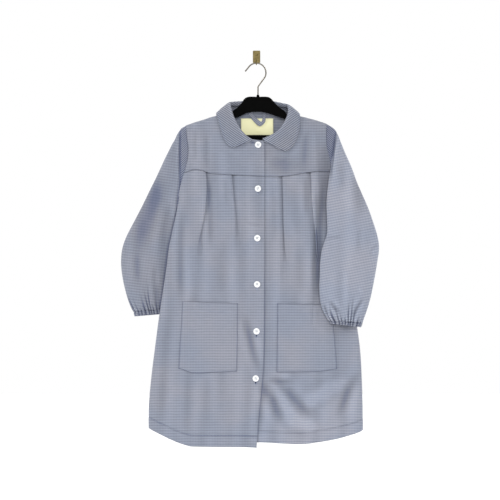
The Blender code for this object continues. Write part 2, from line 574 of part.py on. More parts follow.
def side_columns(edge, inward):
    """Three columns that follow the round of a side edge."""
    return [plain(edge_column(edge, inward * step)) for step in (SEAM_GAP / 2, 0.0018, SIDE_ROUND)]


def between_columns(first, second, shares):
    return [plain(mixed_column(first.x_at, second.x_at, share)) for share in shares]


RIGHT_SIDE = side_columns(right_edge, 1)
RIGHT_POCKET_COLUMN = plain(guide_column(RIGHT_POCKET_SIDE))
RIGHT_OUTER_COLUMNS = pleat_columns(RIGHT_OUTER, True)
RIGHT_INNER_COLUMNS = pleat_columns(RIGHT_INNER, True)
RIGHT_FRONT_COLUMNS = [
    *RIGHT_SIDE,
    RIGHT_POCKET_COLUMN,
    *RIGHT_OUTER_COLUMNS,
    *between_columns(RIGHT_OUTER_COLUMNS[-1], RIGHT_INNER_COLUMNS[0], (0.5,)),
    *RIGHT_INNER_COLUMNS,
    plain(guide_column(LAP_START)),
    plain(guide_column(LAP_FULL)),
    plain(guide_column(TOP_FRONT_EDGE)),
]
LEFT_SIDE = side_columns(left_edge, -1)
LEFT_POCKET_COLUMN = plain(guide_column(LEFT_POCKET_SIDE))
LEFT_POCKET_INNER_COLUMN = plain(guide_column(LEFT_POCKET_INNER))
LEFT_INNER_COLUMNS = pleat_columns(LEFT_INNER, False)
LEFT_OUTER_COLUMNS = pleat_columns(LEFT_OUTER, False)
LEFT_FRONT_COLUMNS = [
    plain(guide_column(UNDER_FRONT_EDGE)),
    *between_columns(plain(guide_column(UNDER_FRONT_EDGE)), LEFT_POCKET_INNER_COLUMN, (0.4,)),
    LEFT_POCKET_INNER_COLUMN,
    *LEFT_INNER_COLUMNS,
    *between_columns(LEFT_INNER_COLUMNS[-1], LEFT_OUTER_COLUMNS[0], (0.5,)),
    *LEFT_OUTER_COLUMNS,
    LEFT_POCKET_COLUMN,
    *reversed(LEFT_SIDE),
]

# Panel rows, each a share of the way from one line to the next
ROWS_TO_POCKET = (0.0, 0.03, 0.08, 0.15, 0.253, 0.34, 0.45, 0.515, 0.58, 0.65, 0.72, 0.87)
ROWS_IN_POCKET = (0.0, 0.33, 0.67)
ROWS_TO_HEM = (0.0, 0.27, 0.54, 0.83, 1.0)
POCKET_TOP_ROW = len(ROWS_TO_POCKET)
POCKET_BOTTOM_ROW = POCKET_TOP_ROW + len(ROWS_IN_POCKET)


def seam_z(rows, stations, x):
    """Yoke seam as straight lines between the stations that both pieces share."""
    x = min(max(x, stations[0]), stations[-1])
    start = max(index for index in range(len(stations) - 1) if stations[index] <= x)
    share = (x - stations[start]) / (stations[start + 1] - stations[start])
    z0 = read(rows, "x", "z", stations[start])
    z1 = read(rows, "x", "z", stations[start + 1])
    return mix(z0, z1, share)


def seam_stations(columns, rows):
    """The plain columns' places on the yoke seam."""
    stations = []
    for column in columns:
        if column.pleat is None:
            x = 0.0
            for _ in range(4):
                x = column.x_at(read(rows, "x", "z", x))
            stations.append(x)
    return stations


def panel_grid(columns, seam_rows, hem_rows, depth):
    """Points of a front panel, one list for each row."""
    stations = seam_stations(columns, seam_rows)

    def lines(x):
        return (
            seam_z(seam_rows, stations, x) - SEAM_GAP,
            read(POCKET_TOP, "x", "z", x),
            read(POCKET_BOTTOM, "x", "z", x),
            read(hem_rows, "x", "z", x),
        )

    spans = [(0, share) for share in ROWS_TO_POCKET]
    spans += [(1, share) for share in ROWS_IN_POCKET]
    spans += [(2, share) for share in ROWS_TO_HEM]
    grid = []
    for span, share in spans:
        row = []
        for column in columns:
            x = column.x_at(UNDERARM_Z)
            z = UNDERARM_Z
            deep = 0.0
            for _ in range(5):
                ends = lines(x)
                z = mix(ends[span], ends[span + 1], share)
                x = column.x_at(z)
                if column.pleat is not None:
                    out, deep = pleat_shape(column.pleat, column.order, z)
                    x += column.pleat.outward * out
            y = depth(x, z)
            if column.pleat is not None:
                start = column.x_at(z) - PLEAT_RUN
                across = (x - start) / (2 * PLEAT_RUN)
                y = mix(depth(start, z), depth(start + 2 * PLEAT_RUN, z), across) - deep
            row.append(Vector((x, y, z)))
        grid.append(row)
    return grid


def yoke_grid(columns, seam_rows, neck_rows, neck_x, toward_front, depth):
    """Points of a front yoke: ridge or neckline at the top, yoke seam at the bottom."""
    stations = seam_stations(columns, seam_rows)
    plain_columns = [column for column in columns if column.pleat is None]
    nearest = min(range(len(stations)), key=lambda index: abs(stations[index] - neck_x))
    rows = [(True, drop) for drop in RIDGE_DROPS] + [(False, share) for share in YOKE_SHARES]
    grid = []
    for is_drop, amount in rows:
        row = []
        for index, column in enumerate(plain_columns):
            on_neckline = (stations[index] - neck_x) * toward_front > 0 and index != nearest
            top_rows = neck_rows if on_neckline else SHOULDER_RIDGE
            bottom = seam_z(seam_rows, stations, stations[index])
            x = stations[index]
            for _ in range(5):
                top = read(top_rows, "x", "z", x)
                z = top - amount if is_drop else mix(top - RIDGE_DROPS[-1], bottom, amount)
                x = column.x_at(z)
                if index == nearest:
                    x = mix(neck_x, x, eased((top - z) / (top - bottom)))
            row.append(Vector((x, depth(x, z) - SEAM_GAP / 2, z)))
        inner = nearest + toward_front
        extra = []
        for share in NECK_SHARES:
            x = mix(row[nearest].x, row[inner].x, share)
            top = read(neck_rows, "x", "z", x)
            bottom = seam_z(seam_rows, stations, x)
            z = top - amount if is_drop else mix(top - RIDGE_DROPS[-1], bottom, amount)
            extra.append(Vector((x, depth(x, z) - SEAM_GAP / 2, z)))
        cut = max(nearest, inner)
        row[cut:cut] = extra if toward_front > 0 else reversed(extra)
        grid.append(row)
    return grid


def back_grid():
    """Points of the back panel from the ridge and neckline to the hem."""
    right = side_columns(right_edge, 1)
    left = side_columns(left_edge, -1)
    columns = [*right, *between_columns(right[-1], left[-1], BACK_SHARES), *reversed(left)]
    neck_start = len(right) + BACK_SHARES.index(RIGHT_NECK_SHARE)
    neck_end = len(right) + BACK_SHARES.index(LEFT_NECK_SHARE)
    rows = [(True, drop) for drop in RIDGE_DROPS] + [(False, share) for share in BACK_ROWS]
    grid = []
    for is_drop, amount in rows:
        row = []
        for index, column in enumerate(columns):
            top_rows = BACK_NECKLINE if neck_start < index < neck_end else SHOULDER_RIDGE
            x = column.x_at(UNDERARM_Z)
            for _ in range(6):
                top = read(top_rows, "x", "z", x)
                bottom = read(BACK_HEM, "x", "z", x)
                z = top - amount if is_drop else mix(top - RIDGE_DROPS[-1], bottom, amount)
                x = column.x_at(z)
            row.append(Vector((x, back_y(x, z) + SEAM_GAP / 2, z)))
        grid.append(row)
    return grid


def armhole_ring(edge, outward):
    """The sleeve's first ring, along the armhole's front and back."""
    ring = []
    top_x = edge(-0.150)
    top_z = read(SHOULDER_RIDGE, "x", "z", top_x)
    for order in range(2 * RING_HALF):
        share = order / RING_HALF if order <= RING_HALF else (2 * RING_HALF - order) / RING_HALF
        z = mix(top_z, UNDERARM_Z, share**ARMHOLE_CROWDING)
        x = edge(z)
        depth = front_y if order <= RING_HALF else back_y
        ring.append(Vector((x + outward * ARMHOLE_GAP, depth(x, z), z)))
    return ring


def sleeve_ring(ring, crowding, gather, inward):
    """One ring of a flattened sleeve, front half first, with its gathers."""
    points = []
    for order in range(2 * RING_HALF):
        at_front = order <= RING_HALF
        share = order / RING_HALF if at_front else (2 * RING_HALF - order) / RING_HALF
        along = mix(share, share**ARMHOLE_CROWDING, crowding)
        round_share = math.sqrt(max(0.0, 1 - abs(2 * along - 1) ** 3))
        skewed = along ** (ring.skew if at_front else BACK_SKEW)
        lean = 4 * skewed * (1 - skewed)
        x = mix(ring.outer_x, ring.inner_x, along)
        x += inward * lean * (ring.front_bow if at_front else -ring.back_bow)
        z = mix(ring.outer_z, ring.inner_z, along)
        y = mix(ring.outer_y, ring.inner_y, along)
        y += -ring.front * round_share if at_front else ring.back * round_share
        wave = gather * (1 if order % 2 else -1)
        angle = math.pi * along
        x += -inward * wave * math.cos(angle)
        y += (-wave if at_front else wave) * math.sin(angle)
        points.append(Vector((x, y, z)))
    return points


def sleeve_grid(rings, edge, inward):
    grid = [armhole_ring(edge, -inward)]
    last = len(rings) - 1
    for index, ring in enumerate(rings):
        crowding = 1 - eased((index + 1) / CROWDED_RINGS)
        gather = GATHER_HEIGHT * eased((index - last + GATHER_RINGS) / GATHER_RINGS)
        grid.append(sleeve_ring(ring, crowding, gather, inward))
    return grid


def cuff_grid(rings, inward):
    return [sleeve_ring(ring, 0.0, GATHER_HEIGHT, inward) for ring in rings]


def collar_surface_y(x, z, station, share):
    """Depth of what the collar lies on, from the front over the shoulder to the back."""
    if station.roll_y is None:
        y = front_y(x, z)
        lap = eased((0.060 - abs(x)) / 0.030)
        return y - COLLAR_TOP_LAP_RISE * lap
    return mix(station.roll_y, station.edge_y, share)


def collar_grid():
    grid = []
    for station in COLLAR:
        turn = math.radians(station.turn)
        row = []
        for section in COLLAR_SECTION:
            x = mix(station.roll_x, station.edge_x, section.out)
            z = mix(station.roll_z, station.edge_z, section.out)
            y = collar_surface_y(x, z, station, section.out)
            lift = section.lift * mix(0.75, 1.0, station.fullness) + station.off
            row.append(Vector((x, y - lift * math.cos(turn), z + lift * math.sin(turn))))
        grid.append(row)
    return grid


def moved_out(grid, distance):
    """The same points moved along the surface's own direction, towards the front."""
    moved = []
    last_row = len(grid) - 1
    last_column = len(grid[0]) - 1
    for r, row in enumerate(grid):
        moved_row = []
        for c, point in enumerate(row):
            along = grid[r][min(c + 1, last_column)] - grid[r][max(c - 1, 0)]
            down = grid[min(r + 1, last_row)][c] - grid[max(r - 1, 0)][c]
            normal = along.cross(down).normalized()
            if normal.y > 0:
                normal = -normal
            moved_row.append(point + normal * distance)
        moved.append(moved_row)
    return moved


# Making objects
def grid_mesh(name, grid, closed):
    mesh = bpy.data.meshes.new(name)
    sheet = bmesh.new()
    rows = [[sheet.verts.new(point) for point in row] for row in grid]
    count = len(grid[0])
    for upper, lower in zip(rows, rows[1:]):
        for index in range(count if closed else count - 1):
            following = (index + 1) % count
            sheet.faces.new((upper[index], upper[following], lower[following], lower[index]))
    bmesh.ops.recalc_face_normals(sheet, faces=sheet.faces)
    sheet.to_mesh(mesh)
    sheet.free()
    return mesh


def add_cloth(name, grid, material, collection, closed=False):
    """A cloth piece: a wall of even thickness with the grid at its middle."""
    mesh = grid_mesh(name, grid, closed)
    mesh.materials.append(material)
    mesh.shade_smooth()
    cloth = bpy.data.objects.new(name, mesh)
    collection.objects.link(cloth)
    wall = cloth.modifiers.new("Wall", "SOLIDIFY")
    wall.thickness = WALL
    wall.offset = 0.0
    return cloth


def add_turned(name, profile, steps, material, collection):
    """A solid turned about its own Z axis from a profile of (radius, height) pairs."""
    mesh = bpy.data.meshes.new(name)
    mesh.from_pydata(
        [(radius, 0.0, height) for radius, height in profile],
        [(index, index + 1) for index in range(len(profile) - 1)],
        [],
    )
    mesh.materials.append(material)
    turned = bpy.data.objects.new(name, mesh)
    collection.objects.link(turned)
    screw = turned.modifiers.new("Turn", "SCREW")
    screw.steps = steps
    screw.render_steps = steps
    screw.use_merge_vertices = True
    screw.merge_threshold = 0.00001
    return turned


def add_wire(name, points, radius, material, collection):
    curve = bpy.data.curves.new(name, "CURVE")
    curve.dimensions = "3D"
    curve.bevel_depth = radius
    curve.bevel_resolution = 2
    curve.use_fill_caps = True
    spline = curve.splines.new("POLY")
    spline.points.add(len(points) - 1)
    for target, point in zip(spline.points, points):
        target.co = (*point, 1.0)
    curve.materials.append(material)
    wire = bpy.data.objects.new(name, curve)
    collection.objects.link(wire)
    return wire


def add_flat_outline(name, outlines, half_depth, edge, material, collection):
    """A flat piece from its outer outline and its holes, with rounded edges."""
    curve = bpy.data.curves.new(name, "CURVE")
    curve.dimensions = "2D"
    curve.fill_mode = "BOTH"
    curve.extrude = half_depth - edge
    curve.bevel_depth = edge
    curve.bevel_resolution = 1
    curve.offset = -edge
    for outline in outlines:
        spline = curve.splines.new("POLY")
        spline.points.add(len(outline) - 1)
        spline.use_cyclic_u = True
        for target, place in zip(spline.points, outline):
            target.co = (place.x, place.z, 0.0, 1.0)
    curve.materials.append(material)
    flat = bpy.data.objects.new(name, curve)
    flat.rotation_euler = (math.pi / 2, 0.0, 0.0)
    collection.objects.link(flat)
    return flat


# The garment's pieces
def build_fronts(cloth, parts):
    right = panel_grid(RIGHT_FRONT_COLUMNS, RIGHT_YOKE_SEAM, RIGHT_HEM, top_front_y)
    left = panel_grid(LEFT_FRONT_COLUMNS, LEFT_YOKE_SEAM, LEFT_HEM, front_y)
    add_cloth("front_panel_right", right, cloth, parts)
    add_cloth("front_panel_left", left, cloth, parts)
    right_yoke = yoke_grid(
        RIGHT_FRONT_COLUMNS, RIGHT_YOKE_SEAM, RIGHT_NECKLINE, RIGHT_NECK_X, 1, top_front_y
    )
    left_yoke = yoke_grid(
        LEFT_FRONT_COLUMNS, LEFT_YOKE_SEAM, LEFT_NECKLINE, LEFT_NECK_X, -1, front_y
    )
    add_cloth("front_yoke_right", right_yoke, cloth, parts)
    add_cloth("front_yoke_left", left_yoke, cloth, parts)
    build_pockets(right, left, cloth, parts)


def build_pockets(right, left, cloth, parts):
    rows = slice(POCKET_TOP_ROW, POCKET_BOTTOM_ROW + 1)
    outer = RIGHT_FRONT_COLUMNS.index(RIGHT_POCKET_COLUMN)
    inner = RIGHT_FRONT_COLUMNS.index(RIGHT_INNER_COLUMNS[1]) + PLEAT_COUNT // 2
    pocket = [row[outer : inner + 1] for row in right[rows]]
    add_cloth("pocket_right", moved_out(pocket, LAID_ON), cloth, parts)
    inner = LEFT_FRONT_COLUMNS.index(LEFT_POCKET_INNER_COLUMN)
    outer = LEFT_FRONT_COLUMNS.index(LEFT_POCKET_COLUMN)
    pocket = [row[inner : outer + 1] for row in left[rows]]
    add_cloth("pocket_left", moved_out(pocket, LAID_ON), cloth, parts)


def build_sleeves(cloth, parts):
    add_cloth("sleeve_right", sleeve_grid(RIGHT_RINGS, right_edge, 1), cloth, parts, True)
    add_cloth("sleeve_left", sleeve_grid(LEFT_RINGS, left_edge, -1), cloth, parts, True)
    add_cloth("cuff_right", cuff_grid(RIGHT_CUFF, 1), cloth, parts, True)
    add_cloth("cuff_left", cuff_grid(LEFT_CUFF, -1), cloth, parts, True)


def build_buttons(plastic, parts):
    profile = [
        (0.0, BUTTON_HEIGHT * 0.75),
        (BUTTON_RADIUS * 0.62, BUTTON_HEIGHT * 0.75),
        (BUTTON_RADIUS * 0.74, BUTTON_HEIGHT),
        (BUTTON_RADIUS * 0.92, BUTTON_HEIGHT),
        (BUTTON_RADIUS, BUTTON_HEIGHT * 0.62),
        (BUTTON_RADIUS * 0.90, 0.0),
        (0.0, 0.0),
    ]
    for number, place in enumerate(BUTTONS, start=1):
        button = add_turned(f"button_{number}", profile, BUTTON_STEPS, plastic, parts)
        back = top_front_y(place.x, place.z) - WALL / 2 - place.gap
        button.location = (place.x, back, place.z)
        button.rotation_euler = (math.pi / 2, 0.0, 0.0)


def build_neck_inside(cloth, label_cloth, parts):
    label = []
    for share in (0.0, 0.5, 1.0):
        z = mix(LABEL_TOP, LABEL_BOTTOM, share)
        row = [mix(LABEL_RIGHT, LABEL_LEFT, column / 3) for column in range(4)]
        label.append([Vector((x, back_y(x, z) - LAID_ON, z)) for x in row])
    add_cloth("neck_label", label, label_cloth, parts)
    loop = [[Vector((row.x0, row.y, row.z0)), Vector((row.x1, row.y, row.z1))] for row in NECK_LOOP]
    add_cloth("neck_loop", loop, cloth, parts)


def build_hanger(plastic, steel, parts):
    body = add_flat_outline(
        "hanger_body", [HANGER_OUTLINE, HANGER_OPENING], HANGER_HALF_DEPTH, HANGER_EDGE, plastic, parts
    )
    body.location = (0.0, RIDGE_Y, 0.0)
    ferrule_profile = [
        (0.0, FERRULE_HEIGHT), (FERRULE_RADIUS * 0.75, FERRULE_HEIGHT),
        (FERRULE_RADIUS, FERRULE_HEIGHT * 0.7), (FERRULE_RADIUS, 0.0), (0.0, 0.0),
    ]
    ferrule = add_turned("hanger_ferrule", ferrule_profile, 16, plastic, parts)
    ferrule.location = (SHANK_X, RIDGE_Y, FERRULE_BOTTOM)
    shank_bottom = FERRULE_BOTTOM + FERRULE_HEIGHT + SEATED
    points = [(SHANK_X, RIDGE_Y, shank_bottom), (SHANK_X, RIDGE_Y, SHANK_TOP)]
    for step in range(HOOK_STEPS + 1):
        angle = math.radians(mix(HOOK_START_ANGLE, HOOK_END_ANGLE, step / HOOK_STEPS))
        x = HOOK_CENTRE_X + HOOK_RADIUS * math.cos(angle)
        z = HOOK_CENTRE_Z + HOOK_RADIUS * math.sin(angle)
        points.append((x, RIDGE_Y, z))
    points.append((HOOK_TIP.x, RIDGE_Y, HOOK_TIP.z))
    add_wire("hanger_hook", points, WIRE_RADIUS, steel, parts)


def build_wall_hook(brass, parts):
    bpy.ops.mesh.primitive_cube_add(size=1.0, location=(0.0, -PLATE_DEPTH / 2, 0.0))
    plate = bpy.context.object
    plate.name = "wall_plate"
    plate.data.transform(Matrix.Diagonal((PLATE_WIDTH, PLATE_DEPTH, PLATE_HEIGHT, 1.0)))
    plate.data.materials.append(brass)
    corners = plate.modifiers.new("Corners", "BEVEL")
    corners.width = PLATE_EDGE
    corners.segments = 2
    for owner in list(plate.users_collection):
        owner.objects.unlink(plate)
    parts.objects.link(plate)

    screw_profile = [
        (0.0, SCREW_HEIGHT), (SCREW_RADIUS * 0.55, SCREW_HEIGHT * 0.85),
        (SCREW_RADIUS, SCREW_HEIGHT * 0.25), (SCREW_RADIUS, 0.0), (0.0, 0.0),
    ]
    screw = add_turned("wall_screw", screw_profile, 16, brass, parts)
    screw.location = (0.0, -PLATE_DEPTH - SEATED, SCREW_Z)
    screw.rotation_euler = (math.pi / 2, 0.0, 0.0)

    wire_z = HOOK_CENTRE_Z + HOOK_RADIUS
    crook = WIRE_RADIUS + SEATED + PRONG_RADIUS
    points = [(HOOK_CENTRE_X, -PLATE_DEPTH - SEATED, PRONG_ROOT_Z)]
    points += [(HOOK_CENTRE_X, place.y, place.z) for place in PRONG_REACH]
    for step in range(PRONG_STEPS + 1):
        angle = math.radians(mix(PRONG_START_ANGLE, PRONG_END_ANGLE, step / PRONG_STEPS))
        y = RIDGE_Y + crook * math.cos(angle)
        z = wire_z + crook * math.sin(angle)
        points.append((HOOK_CENTRE_X, y, z))
    points += [(HOOK_CENTRE_X, place.y, place.z) for place in PRONG_TIP]
    add_wire("wall_prong", points, PRONG_RADIUS, brass, parts)


def main():
    clear_scene()
    parts = new_collection("school_smock")
    cloth = new_material("smock_check", (0.36, 0.42, 0.56), 0.9)
    label_cloth = new_material("label_cream", (0.90, 0.85, 0.50), 0.8)
    button_plastic = new_material("button_white", (0.85, 0.86, 0.86), 0.3)
    hanger_plastic = new_material("hanger_black", (0.012, 0.012, 0.012), 0.35)
    steel = new_material("hook_steel", (0.55, 0.54, 0.52), 0.25, 1.0)
    brass = new_material("wall_brass", (0.30, 0.22, 0.10), 0.4, 1.0)
    build_fronts(cloth, parts)
    add_cloth("back_panel", back_grid(), cloth, parts)
    build_sleeves(cloth, parts)
    add_cloth("collar", collar_grid(), cloth, parts)
    build_buttons(button_plastic, parts)
    build_neck_inside(cloth, label_cloth, parts)
    build_hanger(hanger_plastic, steel, parts)
    build_wall_hook(brass, parts)


main()
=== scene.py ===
# School smock on a plastic hanger: the looks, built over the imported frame.
# Metres, +Z up.  The smock's front faces -Y and the wall is the plane y = 0.
# Right and left are the wearer's, so the right side of the smock lies at -X.
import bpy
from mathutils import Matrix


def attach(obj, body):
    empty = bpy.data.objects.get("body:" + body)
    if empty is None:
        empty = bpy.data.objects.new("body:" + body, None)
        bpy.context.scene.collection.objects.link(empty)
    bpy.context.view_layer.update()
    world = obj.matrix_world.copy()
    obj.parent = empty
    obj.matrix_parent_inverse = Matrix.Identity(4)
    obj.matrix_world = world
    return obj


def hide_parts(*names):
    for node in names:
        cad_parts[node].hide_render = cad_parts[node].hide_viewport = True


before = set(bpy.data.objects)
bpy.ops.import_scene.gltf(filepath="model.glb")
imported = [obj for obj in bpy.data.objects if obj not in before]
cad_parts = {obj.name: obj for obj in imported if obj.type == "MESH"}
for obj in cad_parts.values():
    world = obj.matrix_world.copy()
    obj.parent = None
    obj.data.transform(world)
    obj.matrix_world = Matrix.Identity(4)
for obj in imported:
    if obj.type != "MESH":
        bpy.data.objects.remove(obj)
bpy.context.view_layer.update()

import copy
import math
from collections import namedtuple

import bpy
import numpy as np
from mathutils import Matrix, Vector

# Cloth forms, as in the part's source
WALL = 0.0010                 # thickness of every cloth wall
SEAM_GAP = 0.0003             # between the edges of two pieces at a seam
ARMHOLE_TUCK = 0.0012         # how far a sleeve's edge lies under the yoke, front and back
LAP_RISE = 0.0018             # top front above the under front where they overlap
RIDGE_Y = -0.026              # plane of the hanger and of the shoulder ridge
RIDGE_ROUND_FRONT = 0.0080
RIDGE_ROUND_BACK = 0.0100
RIDGE_SETTLE = 0.100          # height below the ridge over which the depth settles
SIDE_ROUND = 0.0060           # round of the folded side edges
SIDE_STEPS = (0.0, 0.0008, 0.0024, SIDE_ROUND)
BACK_LAG = 0.020              # the back stays forward this far in from a side
BACK_RAMP = 0.080             # then falls back towards the wall over this width
RIGHT_TURN_POWER = 0.85
LEFT_TURN_POWER = 0.75
PLEAT_PITCH = 0.0017          # from one layer's middle to the next
PLEAT_DEPTH = 0.0090          # width of the hidden layer at the yoke seam
PLEAT_RUN = 0.0120            # half width of the cloth that each pleat bends
RING_HALF = 20                # points from the outer fold to the inner fold


def rows_of(kind, *rows):
    """A table whose rows are all of one kind, with named columns."""
    return [kind(*row) for row in rows]


Side = namedtuple("Side", "z right_x left_x right_y left_y right_turn left_turn front_y back_y")
SIDES = rows_of(
    Side,
    (-0.12, -0.1674, 0.1725, -0.026, -0.026, 0.06, 0.04, -0.046, -0.0155),
    (-0.16, -0.1674, 0.1725, -0.027, -0.026, 0.06, 0.04, -0.048, -0.015),
    (-0.206, -0.1679, 0.1714, -0.029, -0.027, 0.058, 0.04, -0.049, -0.014),
    (-0.255, -0.1685, 0.1703, -0.032, -0.028, 0.052, 0.04, -0.05, -0.013),
    (-0.296, -0.1785, 0.181, -0.034, -0.029, 0.05, 0.04, -0.0512, -0.0125),
    (-0.326, -0.174, 0.1758, -0.036, -0.03, 0.042, 0.043, -0.052, -0.012),
    (-0.371, -0.1828, 0.1846, -0.037, -0.03, 0.046, 0.053, -0.0535, -0.0115),
    (-0.422, -0.1936, 0.1945, -0.037, -0.03, 0.056, 0.067, -0.0545, -0.011),
    (-0.464, -0.1987, 0.2011, -0.037, -0.03, 0.062, 0.076, -0.055, -0.011),
    (-0.503, -0.2044, 0.2066, -0.037, -0.03, 0.069, 0.083, -0.055, -0.011),
    (-0.562, -0.2134, 0.2165, -0.037, -0.031, 0.074, 0.084, -0.055, -0.011),
    (-0.638, -0.2235, 0.2275, -0.035, -0.033, 0.078, 0.08, -0.054, -0.011),
    (-0.708, -0.2323, 0.2319, -0.034, -0.034, 0.082, 0.078, -0.053, -0.0115),
    (-0.778, -0.238, 0.2341, -0.033, -0.034, 0.085, 0.078, -0.052, -0.012),
    (-0.862, -0.2367, 0.2341, -0.033, -0.034, 0.085, 0.078, -0.052, -0.012),
)

Place = namedtuple("Place", "x z")


def places(*rows):
    return rows_of(Place, *rows)


SHOULDER_RIDGE = places(
    (-0.178, -0.168), (-0.1657, -0.1588), (-0.1553, -0.1518), (-0.1289, -0.143), (-0.1025, -0.1342),
    (-0.064, -0.1214), (-0.048, -0.1), (0.004, -0.07), (0.056, -0.1), (0.0724, -0.1228),
    (0.1219, -0.1377), (0.1483, -0.1459), (0.1593, -0.1509), (0.166, -0.1555), (0.176, -0.165),
)
RIGHT_NECK_X = -0.0640
LEFT_NECK_X = 0.0724

RIGHT_ARMHOLE = places(
    (-0.156, -0.15), (-0.1522, -0.189), (-0.15, -0.206), (-0.1522, -0.228), (-0.1566, -0.248),
    (-0.1635, -0.269), (-0.1708, -0.3), (-0.174, -0.326),
)
LEFT_ARMHOLE = places(
    (0.1545, -0.148), (0.1536, -0.175), (0.1545, -0.197), (0.1613, -0.224), (0.1655, -0.254),
    (0.1715, -0.29), (0.1758, -0.326),
)
UNDERARM_Z = -0.326
TOP_FRONT_EDGE = places(
    (0.0174, -0.186), (0.0172, -0.495), (0.0152, -0.668), (0.0097, -0.743), (0.0035, -0.805),
    (0.0, -0.862),
)
UNDER_FRONT_EDGE = places((-0.0145, -0.186), (-0.015, -0.6), (-0.02, -0.862))
LAP_START = places((-0.03, -0.186), (-0.0262, -0.4), (-0.0256, -0.6), (-0.0275, -0.7), (-0.037, -0.862))
LAP_FULL = places((-0.019, -0.186), (-0.02, -0.6), (-0.026, -0.862))

RIGHT_NECKLINE = places(
    (-0.064, -0.1214), (-0.0596, -0.1316), (-0.0497, -0.1503), (-0.0387, -0.1646), (-0.0266, -0.1756),
    (-0.0123, -0.1839), (0.0009, -0.1866), (0.0174, -0.1866),
)
LEFT_NECKLINE = places(
    (0.0724, -0.1228), (0.068, -0.1338), (0.0581, -0.1514), (0.046, -0.1646), (0.0317, -0.1756),
    (0.0163, -0.1844), (0.0009, -0.187), (-0.0145, -0.187),
)
BACK_NECKLINE = places(
    (-0.064, -0.1214), (-0.0552, -0.1205), (-0.0416, -0.114), (-0.0299, -0.105), (0.003, -0.1),
    (0.035, -0.105), (0.047, -0.113), (0.06, -0.1205), (0.0724, -0.1228),
)
RIGHT_YOKE_SEAM = places(
    (-0.159, -0.256), (-0.15, -0.253), (-0.1338, -0.249), (-0.1157, -0.2526), (-0.1003, -0.2581),
    (-0.0563, -0.2609), (0.0174, -0.2647),
)
LEFT_YOKE_SEAM = places(
    (-0.0145, -0.265), (0.0576, -0.2647), (0.1023, -0.258), (0.125, -0.254), (0.168, -0.2536),
)
POCKET_TOP = places(
    (-0.1626, -0.5388), (-0.0416, -0.5438), (0.0449, -0.5441), (0.1236, -0.546), (0.17, -0.547),
)
POCKET_BOTTOM = places(
    (-0.1716, -0.6871), (-0.1426, -0.6965), (-0.0438, -0.6934), (0.044, -0.695), (0.15, -0.6925),
    (0.1769, -0.6875),
)
RIGHT_HEM = places(
    (-0.2367, -0.819), (-0.2213, -0.829), (-0.2081, -0.8356), (-0.1817, -0.8466), (-0.1553, -0.8558),
    (-0.1421, -0.8584), (-0.0101, -0.8598), (0.0002, -0.8611),
)
LEFT_HEM = places(
    (-0.02, -0.8477), (0.0031, -0.8488), (0.0427, -0.851), (0.0955, -0.8532), (0.1219, -0.851),
    (0.1747, -0.8422), (0.2011, -0.8356), (0.2143, -0.8312), (0.226, -0.8276), (0.2341, -0.8222),
)
BACK_HEM = places(
    (-0.2367, -0.819), (-0.22, -0.828), (-0.18, -0.842), (-0.14, -0.85), (0.0, -0.852), (0.12, -0.846),
    (0.2, -0.834), (0.2341, -0.8222),
)

RIGHT_POCKET_SIDE = places(
    (-0.1385, -0.25), (-0.156, -0.4), (-0.1626, -0.539), (-0.1716, -0.687), (-0.178, -0.86),
)
RIGHT_OUTER_PLEAT = places(
    (-0.1127, -0.25), (-0.1104, -0.305), (-0.1252, -0.404), (-0.13, -0.539), (-0.132, -0.688),
    (-0.136, -0.86),
)
RIGHT_INNER_PLEAT = places(
    (-0.0557, -0.26), (-0.0455, -0.386), (-0.0416, -0.544), (-0.0438, -0.693), (-0.056, -0.86),
)
LEFT_POCKET_INNER = places((0.037, -0.26), (0.0449, -0.544), (0.044, -0.695), (0.043, -0.86))
LEFT_INNER_PLEAT = places(
    (0.0576, -0.26), (0.0605, -0.377), (0.0669, -0.514), (0.069, -0.695), (0.069, -0.86),
)
LEFT_OUTER_PLEAT = places(
    (0.1195, -0.255), (0.1285, -0.377), (0.1342, -0.53), (0.138, -0.69), (0.142, -0.86),
)
LEFT_POCKET_SIDE = places(
    (0.142, -0.255), (0.159, -0.4), (0.1654, -0.547), (0.1769, -0.6875), (0.185, -0.86),
)

# Each pleat: its guide, the height where it has died out, and the size of its soft remainder
Pleat = namedtuple("Pleat", "guide seam_x end_z soft_depth outward")
RIGHT_OUTER = Pleat(RIGHT_OUTER_PLEAT, -0.1127, -0.460, 0.0020, -1)
RIGHT_INNER = Pleat(RIGHT_INNER_PLEAT, -0.0557, -0.440, 0.0012, -1)
LEFT_INNER = Pleat(LEFT_INNER_PLEAT, 0.0576, -0.520, 0.0016, 1)
LEFT_OUTER = Pleat(LEFT_OUTER_PLEAT, 0.1195, -0.530, 0.0016, 1)

# Large folds of the hanging cloth: a straight trough from one end to the other
Fold = namedtuple("Fold", "x0 z0 x1 z1 width depth")
FOLDS = rows_of(
    Fold,
    (0.018, -0.735, 0.066, -0.81, 0.022, 0.0045),
    (0.056, -0.718, 0.119, -0.787, 0.024, 0.005),
    (0.225, -0.697, 0.184, -0.785, 0.02, 0.0035),
    (-0.026, -0.579, -0.01, -0.65, 0.018, 0.003),
    (-0.135, -0.49, -0.156, -0.85, 0.022, 0.003),
    (-0.134, -0.16, -0.133, -0.226, 0.012, 0.0015),
)

